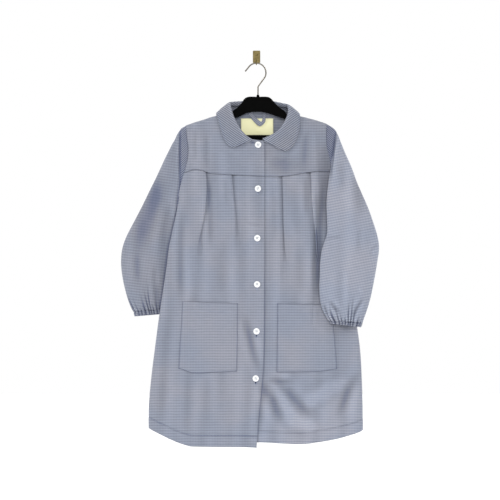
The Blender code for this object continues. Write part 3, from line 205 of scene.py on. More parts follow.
# Sleeve rings: outer and inner fold, depth of both folds, rise of the front face and
# of the back face, and how far the front leans in and the back leans out
Ring = namedtuple(
    "Ring", "outer_x outer_z inner_x inner_z outer_y inner_y front back front_bow back_bow skew",
    defaults=(0.0, 0.0, 1.0),
)
RIGHT_RINGS = rows_of(
    Ring,
    (-0.166, -0.1592, -0.1748, -0.3315, -0.026, -0.034, 0.0055, 0.008),
    (-0.1725, -0.1679, -0.1762, -0.342, -0.024, -0.03, 0.0085, 0.009),
    (-0.1845, -0.1895, -0.1782, -0.354, -0.021, -0.0262, 0.011, 0.009),
    (-0.199, -0.219, -0.179, -0.369, -0.019, -0.022, 0.011, 0.009),
    (-0.22, -0.262, -0.174, -0.386, -0.018, -0.0185, 0.0105, 0.0095),
    (-0.2455, -0.3131, -0.1725, -0.406, -0.018, -0.0175, 0.0105, 0.0095),
    (-0.271, -0.364, -0.1735, -0.425, -0.018, -0.0175, 0.0105, 0.0095),
    (-0.295, -0.4187, -0.18, -0.457, -0.018, -0.0175, 0.011, 0.0095),
    (-0.299, -0.456, -0.186, -0.485, -0.018, -0.0175, 0.011, 0.0095),
    (-0.2945, -0.492, -0.1915, -0.511, -0.018, -0.0175, 0.011, 0.0095),
    (-0.286, -0.524, -0.1955, -0.533, -0.018, -0.0175, 0.0105, 0.009),
    (-0.278, -0.545, -0.1975, -0.547, -0.018, -0.018, 0.0095, 0.0085),
    (-0.2697, -0.5617, -0.1987, -0.557, -0.018, -0.018, 0.008, 0.0075),
)
LEFT_RINGS = rows_of(
    Ring,
    (0.1665, -0.156, 0.1785, -0.333, -0.027, -0.031, 0.012, 0.006, 0.006, 0.006),
    (0.1742, -0.1635, 0.18, -0.346, -0.032, -0.0345, 0.013, 0.006, 0.014, 0.009, 1.3),
    (0.1815, -0.18, 0.1775, -0.36, -0.044, -0.04, 0.015, 0.007, 0.022, 0.01, 1.5),
    (0.193, -0.21, 0.171, -0.374, -0.054, -0.047, 0.016, 0.008, 0.024, 0.01, 1.7),
    (0.212, -0.255, 0.162, -0.388, -0.059, -0.054, 0.013, 0.009, 0.018, 0.008, 2.0),
    (0.2303, -0.2999, 0.152, -0.403, -0.061, -0.059, 0.011, 0.0095, 0.008, 0.005, 2.0),
    (0.252, -0.355, 0.1445, -0.423, -0.061, -0.061, 0.011, 0.01, 0.001, 0.0),
    (0.268, -0.4154, 0.1404, -0.448, -0.061, -0.061, 0.011, 0.01),
    (0.2638, -0.456, 0.1388, -0.482, -0.061, -0.061, 0.011, 0.01),
    (0.2575, -0.492, 0.138, -0.512, -0.061, -0.061, 0.011, 0.01),
    (0.251, -0.525, 0.1395, -0.537, -0.06, -0.06, 0.0105, 0.01),
    (0.2445, -0.55, 0.144, -0.555, -0.059, -0.059, 0.01, 0.0095),
    (0.238, -0.569, 0.151, -0.569, -0.058, -0.058, 0.009, 0.0085),
    (0.2314, -0.5856, 0.1591, -0.581, -0.057, -0.057, 0.008, 0.0075),
)
RIGHT_CUFF = rows_of(
    Ring,
    (-0.2694, -0.5624, -0.1985, -0.5577, -0.018, -0.018, 0.0079, 0.0074),
    (-0.2683, -0.5678, -0.1979, -0.5626, -0.018, -0.018, 0.0079, 0.0074),
    (-0.2671, -0.5727, -0.1971, -0.5669, -0.018, -0.018, 0.0076, 0.0071),
)
LEFT_CUFF = rows_of(
    Ring,
    (0.2312, -0.5863, 0.1593, -0.5817, -0.057, -0.057, 0.0079, 0.0074),
    (0.2294, -0.5913, 0.1607, -0.5851, -0.057, -0.057, 0.0079, 0.0074),
    (0.2273, -0.5955, 0.1619, -0.5883, -0.057, -0.057, 0.0076, 0.0071),
)

# Collar stations round the neck: roll line, outer edge, the side that the leaf faces
# (0 the front, 90 up, 180 the wall), the leaf's fullness, how far it stands off the
# shoulder, and the two lines' depths where the front does not set them
Station = namedtuple(
    "Station", "roll_x roll_z edge_x edge_z turn fullness off roll_y edge_y",
    defaults=(0, 1.0, 0.0, None, None),
)
COLLAR = rows_of(
    Station,
    (-0.0097, -0.1835, -0.0114, -0.1866, 0, 0.25),
    (-0.016, -0.1797, -0.0222, -0.1902, 0, 0.55),
    (-0.0249, -0.1729, -0.039, -0.1972, 0, 0.85),
    (-0.0343, -0.1624, -0.0525, -0.2013),
    (-0.0373, -0.158, -0.06, -0.199),
    (-0.0398, -0.1536, -0.0655, -0.1945),
    (-0.0449, -0.1437, -0.0736, -0.18),
    (-0.051, -0.1316, -0.08, -0.161, 10, 1.0, 0.0004),
    (-0.0552, -0.1195, -0.0849, -0.1448, 30, 1.0, 0.001),
    (-0.0576, -0.1115, -0.088, -0.135, 58, 1.0, 0.0016, -0.031, -0.0335),
    (-0.058, -0.1063, -0.0889, -0.129, 90, 1.0, 0.0016, -0.026, -0.026),
    (-0.0565, -0.104, -0.088, -0.135, 122, 1.0, 0.0016, -0.022, -0.0175),
    (-0.048, -0.101, -0.079, -0.147, 150, 1.0, 0.001, -0.018, -0.0148),
    (-0.029, -0.0975, -0.045, -0.153, 180, 1.0, 0.0, -0.0155, -0.0128),
    (0.002, -0.0937, 0.002, -0.153, 180, 1.0, 0.0, -0.015, -0.0124),
    (0.0339, -0.0975, 0.049, -0.153, 180, 1.0, 0.0, -0.0155, -0.0128),
    (0.055, -0.104, 0.085, -0.147, 150, 1.0, 0.001, -0.018, -0.0148),
    (0.066, -0.1085, 0.0935, -0.137, 122, 1.0, 0.0016, -0.022, -0.0175),
    (0.0678, -0.1113, 0.0945, -0.1298, 90, 1.0, 0.0016, -0.026, -0.026),
    (0.0688, -0.116, 0.0955, -0.1365, 58, 1.0, 0.0016, -0.031, -0.0335),
    (0.0695, -0.123, 0.0962, -0.146, 30, 1.0, 0.001),
    (0.0656, -0.136, 0.0938, -0.164, 10, 1.0, 0.0004),
    (0.0581, -0.1492, 0.0882, -0.1825),
    (0.0497, -0.161, 0.0805, -0.197),
    (0.045, -0.1652, 0.0745, -0.2042),
    (0.04, -0.169, 0.067, -0.2081),
    (0.035, -0.1721, 0.058, -0.2078),
    (0.0295, -0.1747, 0.0475, -0.2036, 0, 0.85),
    (0.0211, -0.1786, 0.033, -0.195, 0, 0.55),
    (0.0136, -0.1813, 0.0174, -0.1877, 0, 0.3),
)
# Collar section from the neck seam over the roll to the leaf's edge
Section = namedtuple("Section", "out lift")
COLLAR_SECTION = [
    Section(0.20, 0.0018), Section(0.08, 0.0020), Section(0.00, 0.0032), Section(0.05, 0.0046),
    Section(0.20, 0.0056), Section(0.50, 0.0056), Section(0.80, 0.0042), Section(1.00, 0.0026),
]
COLLAR_LAP_HALF = 0.060       # half the width over which the collar lies that much higher
COLLAR_LAP_RAMP = 0.030
LEAST_FULL = 0.75             # of the section's height, where the leaf's fullness is 0
COLLAR_TOP_LAP_RISE = 0.0020

YOKE_SEAM = RIGHT_YOKE_SEAM + LEFT_YOKE_SEAM

# Rows near the ridge, by drop, then by share of the way down
RIDGE_DROPS = (0.0, 0.0011, 0.0040, 0.0080)
YOKE_SHARES = (0.22, 0.46, 0.72, 1.0)
NECK_SHARES = (0.20, 0.60)    # extra columns from the neck point inwards
BACK_ROWS = (
    0.020, 0.042, 0.063, 0.085, 0.108, 0.134, 0.165, 0.200, 0.243,
    0.33, 0.43, 0.53, 0.63, 0.73, 0.83, 0.93, 1.0,
)
RIGHT_NECK_SHARE = 0.287
LEFT_NECK_SHARE = 0.744
BACK_SHARES = (0.10, 0.20, RIGHT_NECK_SHARE, 0.35, 0.43, 0.515, 0.60, 0.68, LEFT_NECK_SHARE, 0.83, 0.92)

ARMHOLE_CROWDING = 1.5        # draws the armhole's points towards the shoulder
CROWDED_RINGS = 5
BACK_SKEW = 5.0               # draws the back's lean towards the underarm


def curve_between(first, last, first_slope, last_slope, t):
    """Cubic curve from first to last as t goes from 0 to 1."""
    rise = 3 * t**2 - 2 * t**3
    turn = first_slope * (t**3 - 2 * t**2 + t)
    return first * (1 - rise) + last * rise + turn + last_slope * (t**3 - t**2)


# Reading tables
def read(rows, key, value, at):
    """One named column of a table as a smooth curve over another column."""
    points = sorted((getattr(row, key), getattr(row, value)) for row in rows)
    if at <= points[0][0]:
        return points[0][1]
    if at >= points[-1][0]:
        return points[-1][1]
    last = len(points) - 1
    start = max(index for index in range(last) if points[index][0] <= at)

    def slope(index):
        before = points[max(index - 1, 0)]
        after = points[min(index + 1, last)]
        return (after[1] - before[1]) / (after[0] - before[0])

    width = points[start + 1][0] - points[start][0]
    t = (at - points[start][0]) / width
    return curve_between(
        points[start][1], points[start + 1][1], slope(start) * width, slope(start + 1) * width, t
    )


def z_on(rows, x):
    return read(rows, "x", "z", x)


def x_on(rows, z):
    return read(rows, "z", "x", z)


def side_at(column, z):
    return read(SIDES, "z", column, z)


def mix(first, second, share):
    return first + (second - first) * share


def eased(t):
    t = min(max(t, 0.0), 1.0)
    return t * t * (3 - 2 * t)


def rounded(t):
    """Quarter circle from 0 to 1."""
    t = min(max(t, 0.0), 1.0)
    return math.sqrt(1 - (1 - t) ** 2)


def along_line(line, x, z):
    """Share of the way along a line from one end to the other, and distance to its side."""
    along_x = line.x1 - line.x0
    along_z = line.z1 - line.z0
    length = math.hypot(along_x, along_z)
    along = ((x - line.x0) * along_x + (z - line.z0) * along_z) / length**2
    across = ((x - line.x0) * along_z - (z - line.z0) * along_x) / length
    return along, across


# Form of the hanging body
def fold_depth(x, z):
    """How far the large folds push the cloth back at a place."""
    total = 0.0
    for fold in FOLDS:
        along, across = along_line(fold, x, z)
        ends = eased((along + 0.15) / 0.35) * eased((1.15 - along) / 0.35)
        total += fold.depth * ends * math.exp(-((across / fold.width) ** 2) * 2)
    return total


def from_sides(x, z):
    """Distances in from the right and the left side edge."""
    return x - side_at("right_x", z), side_at("left_x", z) - x


def body_y(x, z, sign, ridge_round, middle, runs, turns, fold=0.0):
    """Depth of the front (sign -1) or the back (sign 1) from how far each side turns in."""
    y = middle
    for column, turn in zip(("right_y", "left_y"), turns):
        y += (side_at(column, z) + sign * SIDE_ROUND - middle) * turn
    y -= sign * SIDE_ROUND * (1 - rounded(min(runs) / SIDE_ROUND))
    y += fold
    below = z_on(SHOULDER_RIDGE, x) - z
    settled = (y - RIDGE_Y - sign * ridge_round) * eased(below / RIDGE_SETTLE)
    return RIDGE_Y + sign * ridge_round * rounded(below / ridge_round) + settled


def front_y(x, z):
    """Depth of the front surface, before pleats and laps."""
    runs = from_sides(x, z)
    widths = side_at("right_turn", z), side_at("left_turn", z)
    turns = [
        (1 - min(max(run / width, 0.0), 1.0)) ** power
        for run, width, power in zip(runs, widths, (RIGHT_TURN_POWER, LEFT_TURN_POWER))
    ]
    return body_y(x, z, -1, RIDGE_ROUND_FRONT, side_at("front_y", z), runs, turns, fold_depth(x, z))


def back_y(x, z):
    """Depth of the back surface."""
    runs = from_sides(x, z)
    turns = [1 - eased((run - BACK_LAG) / BACK_RAMP) for run in runs]
    return body_y(x, z, 1, RIDGE_ROUND_BACK, side_at("back_y", z), runs, turns)


def top_front_y(x, z):
    """Depth of the right front, which rises where it laps over the left front."""
    start = x_on(LAP_START, z)
    full = x_on(LAP_FULL, z)
    return front_y(x, z) - LAP_RISE * eased((x - start) / (full - start))


def right_edge(z):
    """Outer edge of the body pieces on the right: the armhole, then the side seam."""
    return x_on(RIGHT_ARMHOLE, z) if z > UNDERARM_Z else side_at("right_x", z)


def left_edge(z):
    return x_on(LEFT_ARMHOLE, z) if z > UNDERARM_Z else side_at("left_x", z)


# Column makers: each gives x at a height
def guide_column(rows, shift=0.0):
    return lambda z: x_on(rows, z) + shift


def edge_column(edge, inward):
    return lambda z: edge(z) + inward


def mixed_column(first, second, share):
    return lambda z: mix(first(z), second(z), share)


PLEAT_STEPS = 2               # of each of a pleat's two turns
LAYERS_PART = 0.70            # how far a pleat opens before its layers no longer overlap
PLEAT_COUNT = 2 * PLEAT_STEPS + 3


def pleat_points(width):
    """Folded pleat as (outward, depth) pairs, from its outer side to its inner side."""
    half = PLEAT_PITCH / 2
    points = []
    for step in range(PLEAT_STEPS + 1):
        angle = math.pi * step / PLEAT_STEPS
        points.append((-half * math.sin(angle), -half + half * math.cos(angle)))
    for step in range(PLEAT_STEPS + 1):
        angle = math.pi * step / PLEAT_STEPS
        points.append((width + half * math.sin(angle), -3 * half + half * math.cos(angle)))
    points.append((-0.25 * PLEAT_RUN, -4 * half))
    return points


def pleat_shape(pleat, order, z):
    """Outward shift and depth of one of a pleat's columns at a height."""
    share = (order + 1) / (PLEAT_COUNT + 1)
    top = z_on(YOKE_SEAM, pleat.seam_x)
    t = min(max((top - z) / (top - pleat.end_z), 0.0), 1.0)
    opened = t**0.8
    width = PLEAT_DEPTH * (1 - 0.95 * min(opened / LAYERS_PART, 1.0))
    folded_out, folded_deep = pleat_points(width)[order]
    spread = eased((opened - LAYERS_PART) / (1 - LAYERS_PART) * 1.8)
    levelled = eased((opened - LAYERS_PART) / (1 - LAYERS_PART))
    soft_out = PLEAT_RUN * (1 - 2 * share)
    soft_deep = -pleat.soft_depth * (1 - t * 0.7) * math.sin(math.pi * share) ** 2
    return mix(folded_out, soft_out, spread), mix(folded_deep, soft_deep, levelled)


Column = namedtuple("Column", "x_at pleat order")


def plain(x_at):
    return Column(x_at, None, 0)


def pleat_columns(pleat, from_outside):
    """The columns of a pleat with the shared plain columns at both of its sides."""
    orders = range(PLEAT_COUNT) if from_outside else reversed(range(PLEAT_COUNT))
    middle = guide_column(pleat.guide)
    columns = [Column(middle, pleat, order) for order in orders]
    outer = plain(guide_column(pleat.guide, pleat.outward * PLEAT_RUN))
    inner = plain(guide_column(pleat.guide, -pleat.outward * PLEAT_RUN))
    return [outer, *columns, inner] if from_outside else [inner, *columns, outer]


def side_columns(edge, inward):
    """Four columns that follow the round of a side edge."""
    return [plain(edge_column(edge, inward * step)) for step in SIDE_STEPS]


def between_columns(first, second, shares):
    return [plain(mixed_column(first.x_at, second.x_at, share)) for share in shares]


RIGHT_SIDE = side_columns(right_edge, 1)
RIGHT_POCKET_COLUMN = plain(guide_column(RIGHT_POCKET_SIDE))
RIGHT_OUTER_COLUMNS = pleat_columns(RIGHT_OUTER, True)
RIGHT_INNER_COLUMNS = pleat_columns(RIGHT_INNER, True)
RIGHT_FRONT_COLUMNS = [
    *RIGHT_SIDE,
    RIGHT_POCKET_COLUMN,
    *RIGHT_OUTER_COLUMNS,
    *between_columns(RIGHT_OUTER_COLUMNS[-1], RIGHT_INNER_COLUMNS[0], (0.5,)),
    *RIGHT_INNER_COLUMNS,
    plain(guide_column(LAP_START)),
    plain(guide_column(LAP_FULL)),
    plain(guide_column(TOP_FRONT_EDGE)),
]
LEFT_SIDE = side_columns(left_edge, -1)
LEFT_POCKET_COLUMN = plain(guide_column(LEFT_POCKET_SIDE))
LEFT_POCKET_INNER_COLUMN = plain(guide_column(LEFT_POCKET_INNER))
LEFT_INNER_COLUMNS = pleat_columns(LEFT_INNER, False)
LEFT_OUTER_COLUMNS = pleat_columns(LEFT_OUTER, False)
LEFT_FRONT_COLUMNS = [
    plain(guide_column(UNDER_FRONT_EDGE)),
    *between_columns(plain(guide_column(UNDER_FRONT_EDGE)), LEFT_POCKET_INNER_COLUMN, (0.4,)),
    LEFT_POCKET_INNER_COLUMN,
    *LEFT_INNER_COLUMNS,
    *between_columns(LEFT_INNER_COLUMNS[-1], LEFT_OUTER_COLUMNS[0], (0.5,)),
    *LEFT_OUTER_COLUMNS,
    LEFT_POCKET_COLUMN,
    *reversed(LEFT_SIDE),
]

# Times that a point's row and column are worked out again, until the two agree
ROUNDS = 5
BACK_ROUNDS = 6

# Panel rows, each a share of the way from one line to the next
ROWS_TO_POCKET = (0.0, 0.03, 0.08, 0.15, 0.253, 0.34, 0.45, 0.515, 0.58, 0.65, 0.72, 0.87)
ROWS_IN_POCKET = (0.0, 0.33, 0.67)
ROWS_TO_HEM = (0.0, 0.27, 0.54, 0.83, 1.0)
POCKET_TOP_ROW = len(ROWS_TO_POCKET)
POCKET_BOTTOM_ROW = POCKET_TOP_ROW + len(ROWS_IN_POCKET)


def seam_z(rows, stations, x):
    """Yoke seam as straight lines between the stations that both pieces share."""
    x = min(max(x, stations[0]), stations[-1])
    start = max(index for index in range(len(stations) - 1) if stations[index] <= x)
    share = (x - stations[start]) / (stations[start + 1] - stations[start])
    z0 = z_on(rows, stations[start])
    z1 = z_on(rows, stations[start + 1])
    return mix(z0, z1, share)


def seam_stations(columns, rows):
    """The plain columns' places on the yoke seam."""
    stations = []
    for column in columns:
        if column.pleat is None:
            x = 0.0
            for _ in range(4):
                x = column.x_at(z_on(rows, x))
            stations.append(x)
    return stations


def panel_grid(columns, seam_rows, hem_rows, depth):
    """Points of a front panel, one list for each row."""
    stations = seam_stations(columns, seam_rows)

    def lines(x):
        return (
            seam_z(seam_rows, stations, x) - SEAM_GAP,
            z_on(POCKET_TOP, x),
            z_on(POCKET_BOTTOM, x),
            z_on(hem_rows, x),
        )

    spans = [(0, share) for share in ROWS_TO_POCKET]
    spans += [(1, share) for share in ROWS_IN_POCKET]
    spans += [(2, share) for share in ROWS_TO_HEM]
    grid = []
    for span, share in spans:
        row = []
        for column in columns:
            x = column.x_at(UNDERARM_Z)
            z = UNDERARM_Z
            deep = 0.0
            for _ in range(ROUNDS):
                ends = lines(x)
                z = mix(ends[span], ends[span + 1], share)
                x = column.x_at(z)
                if column.pleat is not None:
                    out, deep = pleat_shape(column.pleat, column.order, z)
                    x += column.pleat.outward * out
            y = depth(x, z)
            if column.pleat is not None:
                start = column.x_at(z) - PLEAT_RUN
                across = (x - start) / (2 * PLEAT_RUN)
                y = mix(depth(start, z), depth(start + 2 * PLEAT_RUN, z), across) - deep
            row.append(Vector((x, y, z)))
        grid.append(row)
    return grid


def rows_down(shares):
    """Rows of a piece that hangs from the ridge: the first by their drop, the rest by share."""
    return [(True, drop) for drop in RIDGE_DROPS] + [(False, share) for share in shares]


def row_z(line, top, bottom):
    is_drop, amount = line
    return top - amount if is_drop else mix(top - RIDGE_DROPS[-1], bottom, amount)


def yoke_grid(columns, seam_rows, neck_rows, neck_x, toward_front, depth):
    """Points of a front yoke: ridge or neckline at the top, yoke seam at the bottom."""
    stations = seam_stations(columns, seam_rows)
    plain_columns = [column for column in columns if column.pleat is None]
    nearest = min(range(len(stations)), key=lambda index: abs(stations[index] - neck_x))
    grid = []
    for line in rows_down(YOKE_SHARES):
        row = []
        for index, column in enumerate(plain_columns):
            on_neckline = (stations[index] - neck_x) * toward_front > 0 and index != nearest
            top_rows = neck_rows if on_neckline else SHOULDER_RIDGE
            bottom = seam_z(seam_rows, stations, stations[index])
            x = stations[index]
            for _ in range(ROUNDS):
                top = z_on(top_rows, x)
                z = row_z(line, top, bottom)
                x = column.x_at(z)
                if index == nearest:
                    x = mix(neck_x, x, eased((top - z) / (top - bottom)))
            row.append(Vector((x, depth(x, z) - SEAM_GAP / 2, z)))
        inner = nearest + toward_front
        extra = []
        for share in NECK_SHARES:
            x = mix(row[nearest].x, row[inner].x, share)
            top = z_on(neck_rows, x)
            bottom = seam_z(seam_rows, stations, x)
            z = row_z(line, top, bottom)
            extra.append(Vector((x, depth(x, z) - SEAM_GAP / 2, z)))
        cut = max(nearest, inner)
        row[cut:cut] = extra if toward_front > 0 else reversed(extra)
        grid.append(row)
    return grid


def back_grid():
    """Points of the back panel from the ridge and neckline to the hem."""
    right = side_columns(right_edge, 1)
    left = side_columns(left_edge, -1)
    columns = [*right, *between_columns(right[-1], left[-1], BACK_SHARES), *reversed(left)]
    neck_start = len(right) + BACK_SHARES.index(RIGHT_NECK_SHARE)
    neck_end = len(right) + BACK_SHARES.index(LEFT_NECK_SHARE)
    grid = []
    for line in rows_down(BACK_ROWS):
        row = []
        for index, column in enumerate(columns):
            top_rows = BACK_NECKLINE if neck_start < index < neck_end else SHOULDER_RIDGE
            x = column.x_at(UNDERARM_Z)
            for _ in range(BACK_ROUNDS):
                top = z_on(top_rows, x)
                bottom = z_on(BACK_HEM, x)
                z = row_z(line, top, bottom)
                x = column.x_at(z)
            row.append(Vector((x, back_y(x, z) + SEAM_GAP / 2, z)))
        grid.append(row)
    return grid


def ring_shares():
    """Shares from the outer fold to the inner one, down the front and back up behind."""
    for order in range(2 * RING_HALF):
        at_front = order <= RING_HALF
        yield at_front, (order if at_front else 2 * RING_HALF - order) / RING_HALF


def armhole_ring(edge, outward):
    """The sleeve's first ring, along the armhole's front and back."""
    ring = []
    top_x = edge(-0.150)
    top_z = z_on(SHOULDER_RIDGE, top_x)
    for at_front, share in ring_shares():
        z = mix(top_z, UNDERARM_Z, share**ARMHOLE_CROWDING)
        x = edge(z) - outward * ARMHOLE_TUCK
        inside = 4 * share * (1 - share)
        tuck = ARMHOLE_TUCK * inside
        y = front_y(x, z) + tuck if at_front else back_y(x, z) - tuck
        ring.append(Vector((x, y, z)))
    return ring


def sleeve_ring(ring, crowding, inward):
    """One ring of a flattened sleeve, front half first."""
    points = []
    for at_front, share in ring_shares():
        along = mix(share, share**ARMHOLE_CROWDING, crowding)
        round_share = math.sqrt(max(0.0, 1 - abs(2 * along - 1) ** 3))
        skewed = along ** (ring.skew if at_front else BACK_SKEW)
        lean = 4 * skewed * (1 - skewed)
        x = mix(ring.outer_x, ring.inner_x, along)
        x += inward * lean * (ring.front_bow if at_front else -ring.back_bow)
        z = mix(ring.outer_z, ring.inner_z, along)
        y = mix(ring.outer_y, ring.inner_y, along)
        y += -ring.front * round_share if at_front else ring.back * round_share
        points.append(Vector((x, y, z)))
    return points


def sleeve_grid(rings, edge, inward):
    grid = [armhole_ring(edge, -inward)]
    for index, ring in enumerate(rings):
        crowding = 1 - eased((index + 1) / CROWDED_RINGS)
        grid.append(sleeve_ring(ring, crowding, inward))
    return grid


def cuff_grid(rings, inward):
    return [sleeve_ring(ring, 0.0, inward) for ring in rings]


def collar_surface_y(x, z, station, share):
    """Depth of what the collar lies on, from the front over the shoulder to the back."""
    if station.roll_y is None:
        y = front_y(x, z)
        lap = eased((COLLAR_LAP_HALF - abs(x)) / COLLAR_LAP_RAMP)
        return y - COLLAR_TOP_LAP_RISE * lap
    return mix(station.roll_y, station.edge_y, share)


def collar_grid():
    grid = []
    for station in COLLAR:
        turn = math.radians(station.turn)
        row = []
        for section in COLLAR_SECTION:
            x = mix(station.roll_x, station.edge_x, section.out)
            z = mix(station.roll_z, station.edge_z, section.out)
            y = collar_surface_y(x, z, station, section.out)
            lift = section.lift * mix(LEAST_FULL, 1.0, station.fullness) + station.off
            row.append(Vector((x, y - lift * math.cos(turn), z + lift * math.sin(turn))))
        grid.append(row)
    return grid


# Fine surfaces: a coarse grid of points carried smoothly onto a finer one
SHELL = 0.0007                # thickness of the cloth that shows
RIDGE_TURN = 0.030            # height below the shoulder ridge over which the cloth turns


def steps_between(points, size):
    spans = np.linalg.norm(np.diff(points, axis=0), axis=-1)
    typical = spans.mean(axis=tuple(range(1, spans.ndim)))
    return [max(1, int(round(span / size))) for span in typical]


def smooth_through(points, counts):
    """A smooth curve through the rows of an array, with counts[i] steps in each stretch."""
    change = np.diff(points, axis=0)
    spans = np.sqrt(np.linalg.norm(change, axis=-1, keepdims=True)) + 1e-6
    rates = change / spans
    slopes = np.empty_like(points)
    slopes[1:-1] = (rates[:-1] * spans[1:] + rates[1:] * spans[:-1]) / (spans[:-1] + spans[1:])
    slopes[0] = rates[0]
    slopes[-1] = rates[-1]
    pieces = []
    for index, count in enumerate(counts):
        t = (np.arange(count) / count)[:, None, None]
        ends = [slopes[at] * spans[index] for at in (index, index + 1)]
        pieces.append(curve_between(points[index], points[index + 1], *ends, t))
    pieces.append(points[-1:])
    return np.concatenate(pieces)


def starts_of(counts):
    return np.concatenate([[0], np.cumsum(counts)])


def smooth_open(points, size):
    """An open run of points made finer, and where each point lies in it."""
    counts = steps_between(points, size)
    return smooth_through(points, counts), starts_of(counts)


def smooth_closed(points, size):
    """The same for a run that closes on itself."""
    ring = np.concatenate([points[-2:], points, points[:3]])
    counts = steps_between(ring, size)
    start = sum(counts[:2])
    fine = smooth_through(ring, counts)[start : start + sum(counts[2:-2])]
    return fine, starts_of(counts[2:-2])


class Sheet:
    """A fine grid of cloth: points, painted light and shade, and weave, which holds two
    coordinates along the yarns and how much stronger the check shows than on the plain cloth."""

    def __init__(self, grid, size, closed=False, outward=(0, -1, 0), row_size=None):
        points = np.array([[tuple(point) for point in row] for row in grid])
        points, self.row_at = smooth_open(points, row_size or size)
        smoothed = smooth_closed if closed else smooth_open
        points, self.column_at = smoothed(points.transpose(1, 0, 2), size)
        self.points = points.transpose(1, 0, 2).copy()
        self.closed = closed
        self.outward = outward
        self.tone = np.ones(self.points.shape[:2])
        self.weave = np.zeros(self.points.shape[:2] + (3,))

    def normals(self):
        down = np.gradient(self.points, axis=0)
        if self.closed:
            ring = np.concatenate([self.points[:, -1:], self.points, self.points[:, :1]], axis=1)
            along = np.gradient(ring, axis=1)[:, 1:-1]
            outward = self.points - self.points.mean(axis=1, keepdims=True)
        else:
            along = np.gradient(self.points, axis=1)
            outward = np.array(self.outward)
        normal = np.cross(along, down)
        normal /= np.linalg.norm(normal, axis=-1, keepdims=True) + 1e-12
        return normal * np.sign((normal * outward).sum(axis=-1).mean())

    def push(self, amount):
        """Moves each point out by its own amount."""
        self.points += self.normals() * amount[..., None]

    @property
    def x(self):
        return self.points[..., 0]

    @property
    def z(self):
        return self.points[..., 2]

    def turned_weave(self, degrees):
        """The two yarn coordinates, laid flat on the x-z plane and turned by an angle."""
        turn = np.radians(degrees)
        along = self.x * np.cos(turn) + self.z * np.sin(turn)
        return np.stack([along, -self.x * np.sin(turn) + self.z * np.cos(turn)], axis=-1)

    def weave_over_ridge(self):
        """Lets the weave follow the cloth up over the shoulder, where it turns away."""
        change = np.diff(self.points, axis=0)
        extra = np.hypot(change[..., 1], change[..., 2]) - np.abs(change[..., 2])
        drop = self.z[:1] - self.z[:-1]
        extra *= np.clip((RIDGE_TURN - drop) / RIDGE_TURN, 0, 1)
        self.weave[:-1, :, 1] += np.cumsum(extra[::-1], axis=0)[::-1]

    def part(self, rows, columns, lift):
        """A piece laid on this one over some of its rows and columns."""
        piece = copy.copy(self)
        piece.points = self.points[rows, columns] + self.normals()[rows, columns] * lift
        piece.tone = np.ones(piece.points.shape[:2])
        piece.weave = self.weave[rows, columns].copy()
        return piece


# Creases: a soft trough from one end to the other with a low ridge at each side.
# A negative depth makes a ridge.  bend moves its middle sideways.
Crease = namedtuple("Crease", "x0 z0 x1 z1 bend width depth")


def bell(values, width):
    return np.exp(-((values / width) ** 2))


def crease_push(x, z, creases):
    total = np.zeros_like(x)
    for crease in creases:
        along, across = along_line(crease, x, z)
        inside = np.clip(along, 0, 1)
        across = across - crease.bend * 4 * inside * (1 - inside)
        fade = np.clip((along + 0.10) / 0.40, 0, 1) * np.clip((1.10 - along) / 0.40, 0, 1)
        fade = fade * fade * (3 - 2 * fade)
        trough = bell(across, crease.width)
        ridges = bell(np.abs(across) - 1.9 * crease.width, crease.width)
        total += -crease.depth * fade * (trough - 0.30 * ridges)
    return total


# Slow unevenness of hanging cloth: waves that run mostly down, in metres
Wave = namedtuple("Wave", "down across phase height")
WAVES = rows_of(
    Wave,
    (0.9, 0.052, 0.4, 0.00042),
    (-0.7, 0.031, 2.1, 0.00026),
    (0.33, 0.085, 4.0, 0.0002),
    (-0.21, 0.064, 1.3, 0.00012),
)


def uneven(x, z, seed):
    total = np.zeros_like(x)
    for number, wave in enumerate(WAVES):
        shift = wave.phase + seed * (1.7 + number)
        total += wave.height * np.sin(
            2 * math.pi * (x / wave.across + z / wave.down) + shift
            + 1.2 * np.sin(2 * math.pi * z / (wave.down * 1.7) + shift)
        )
    return total


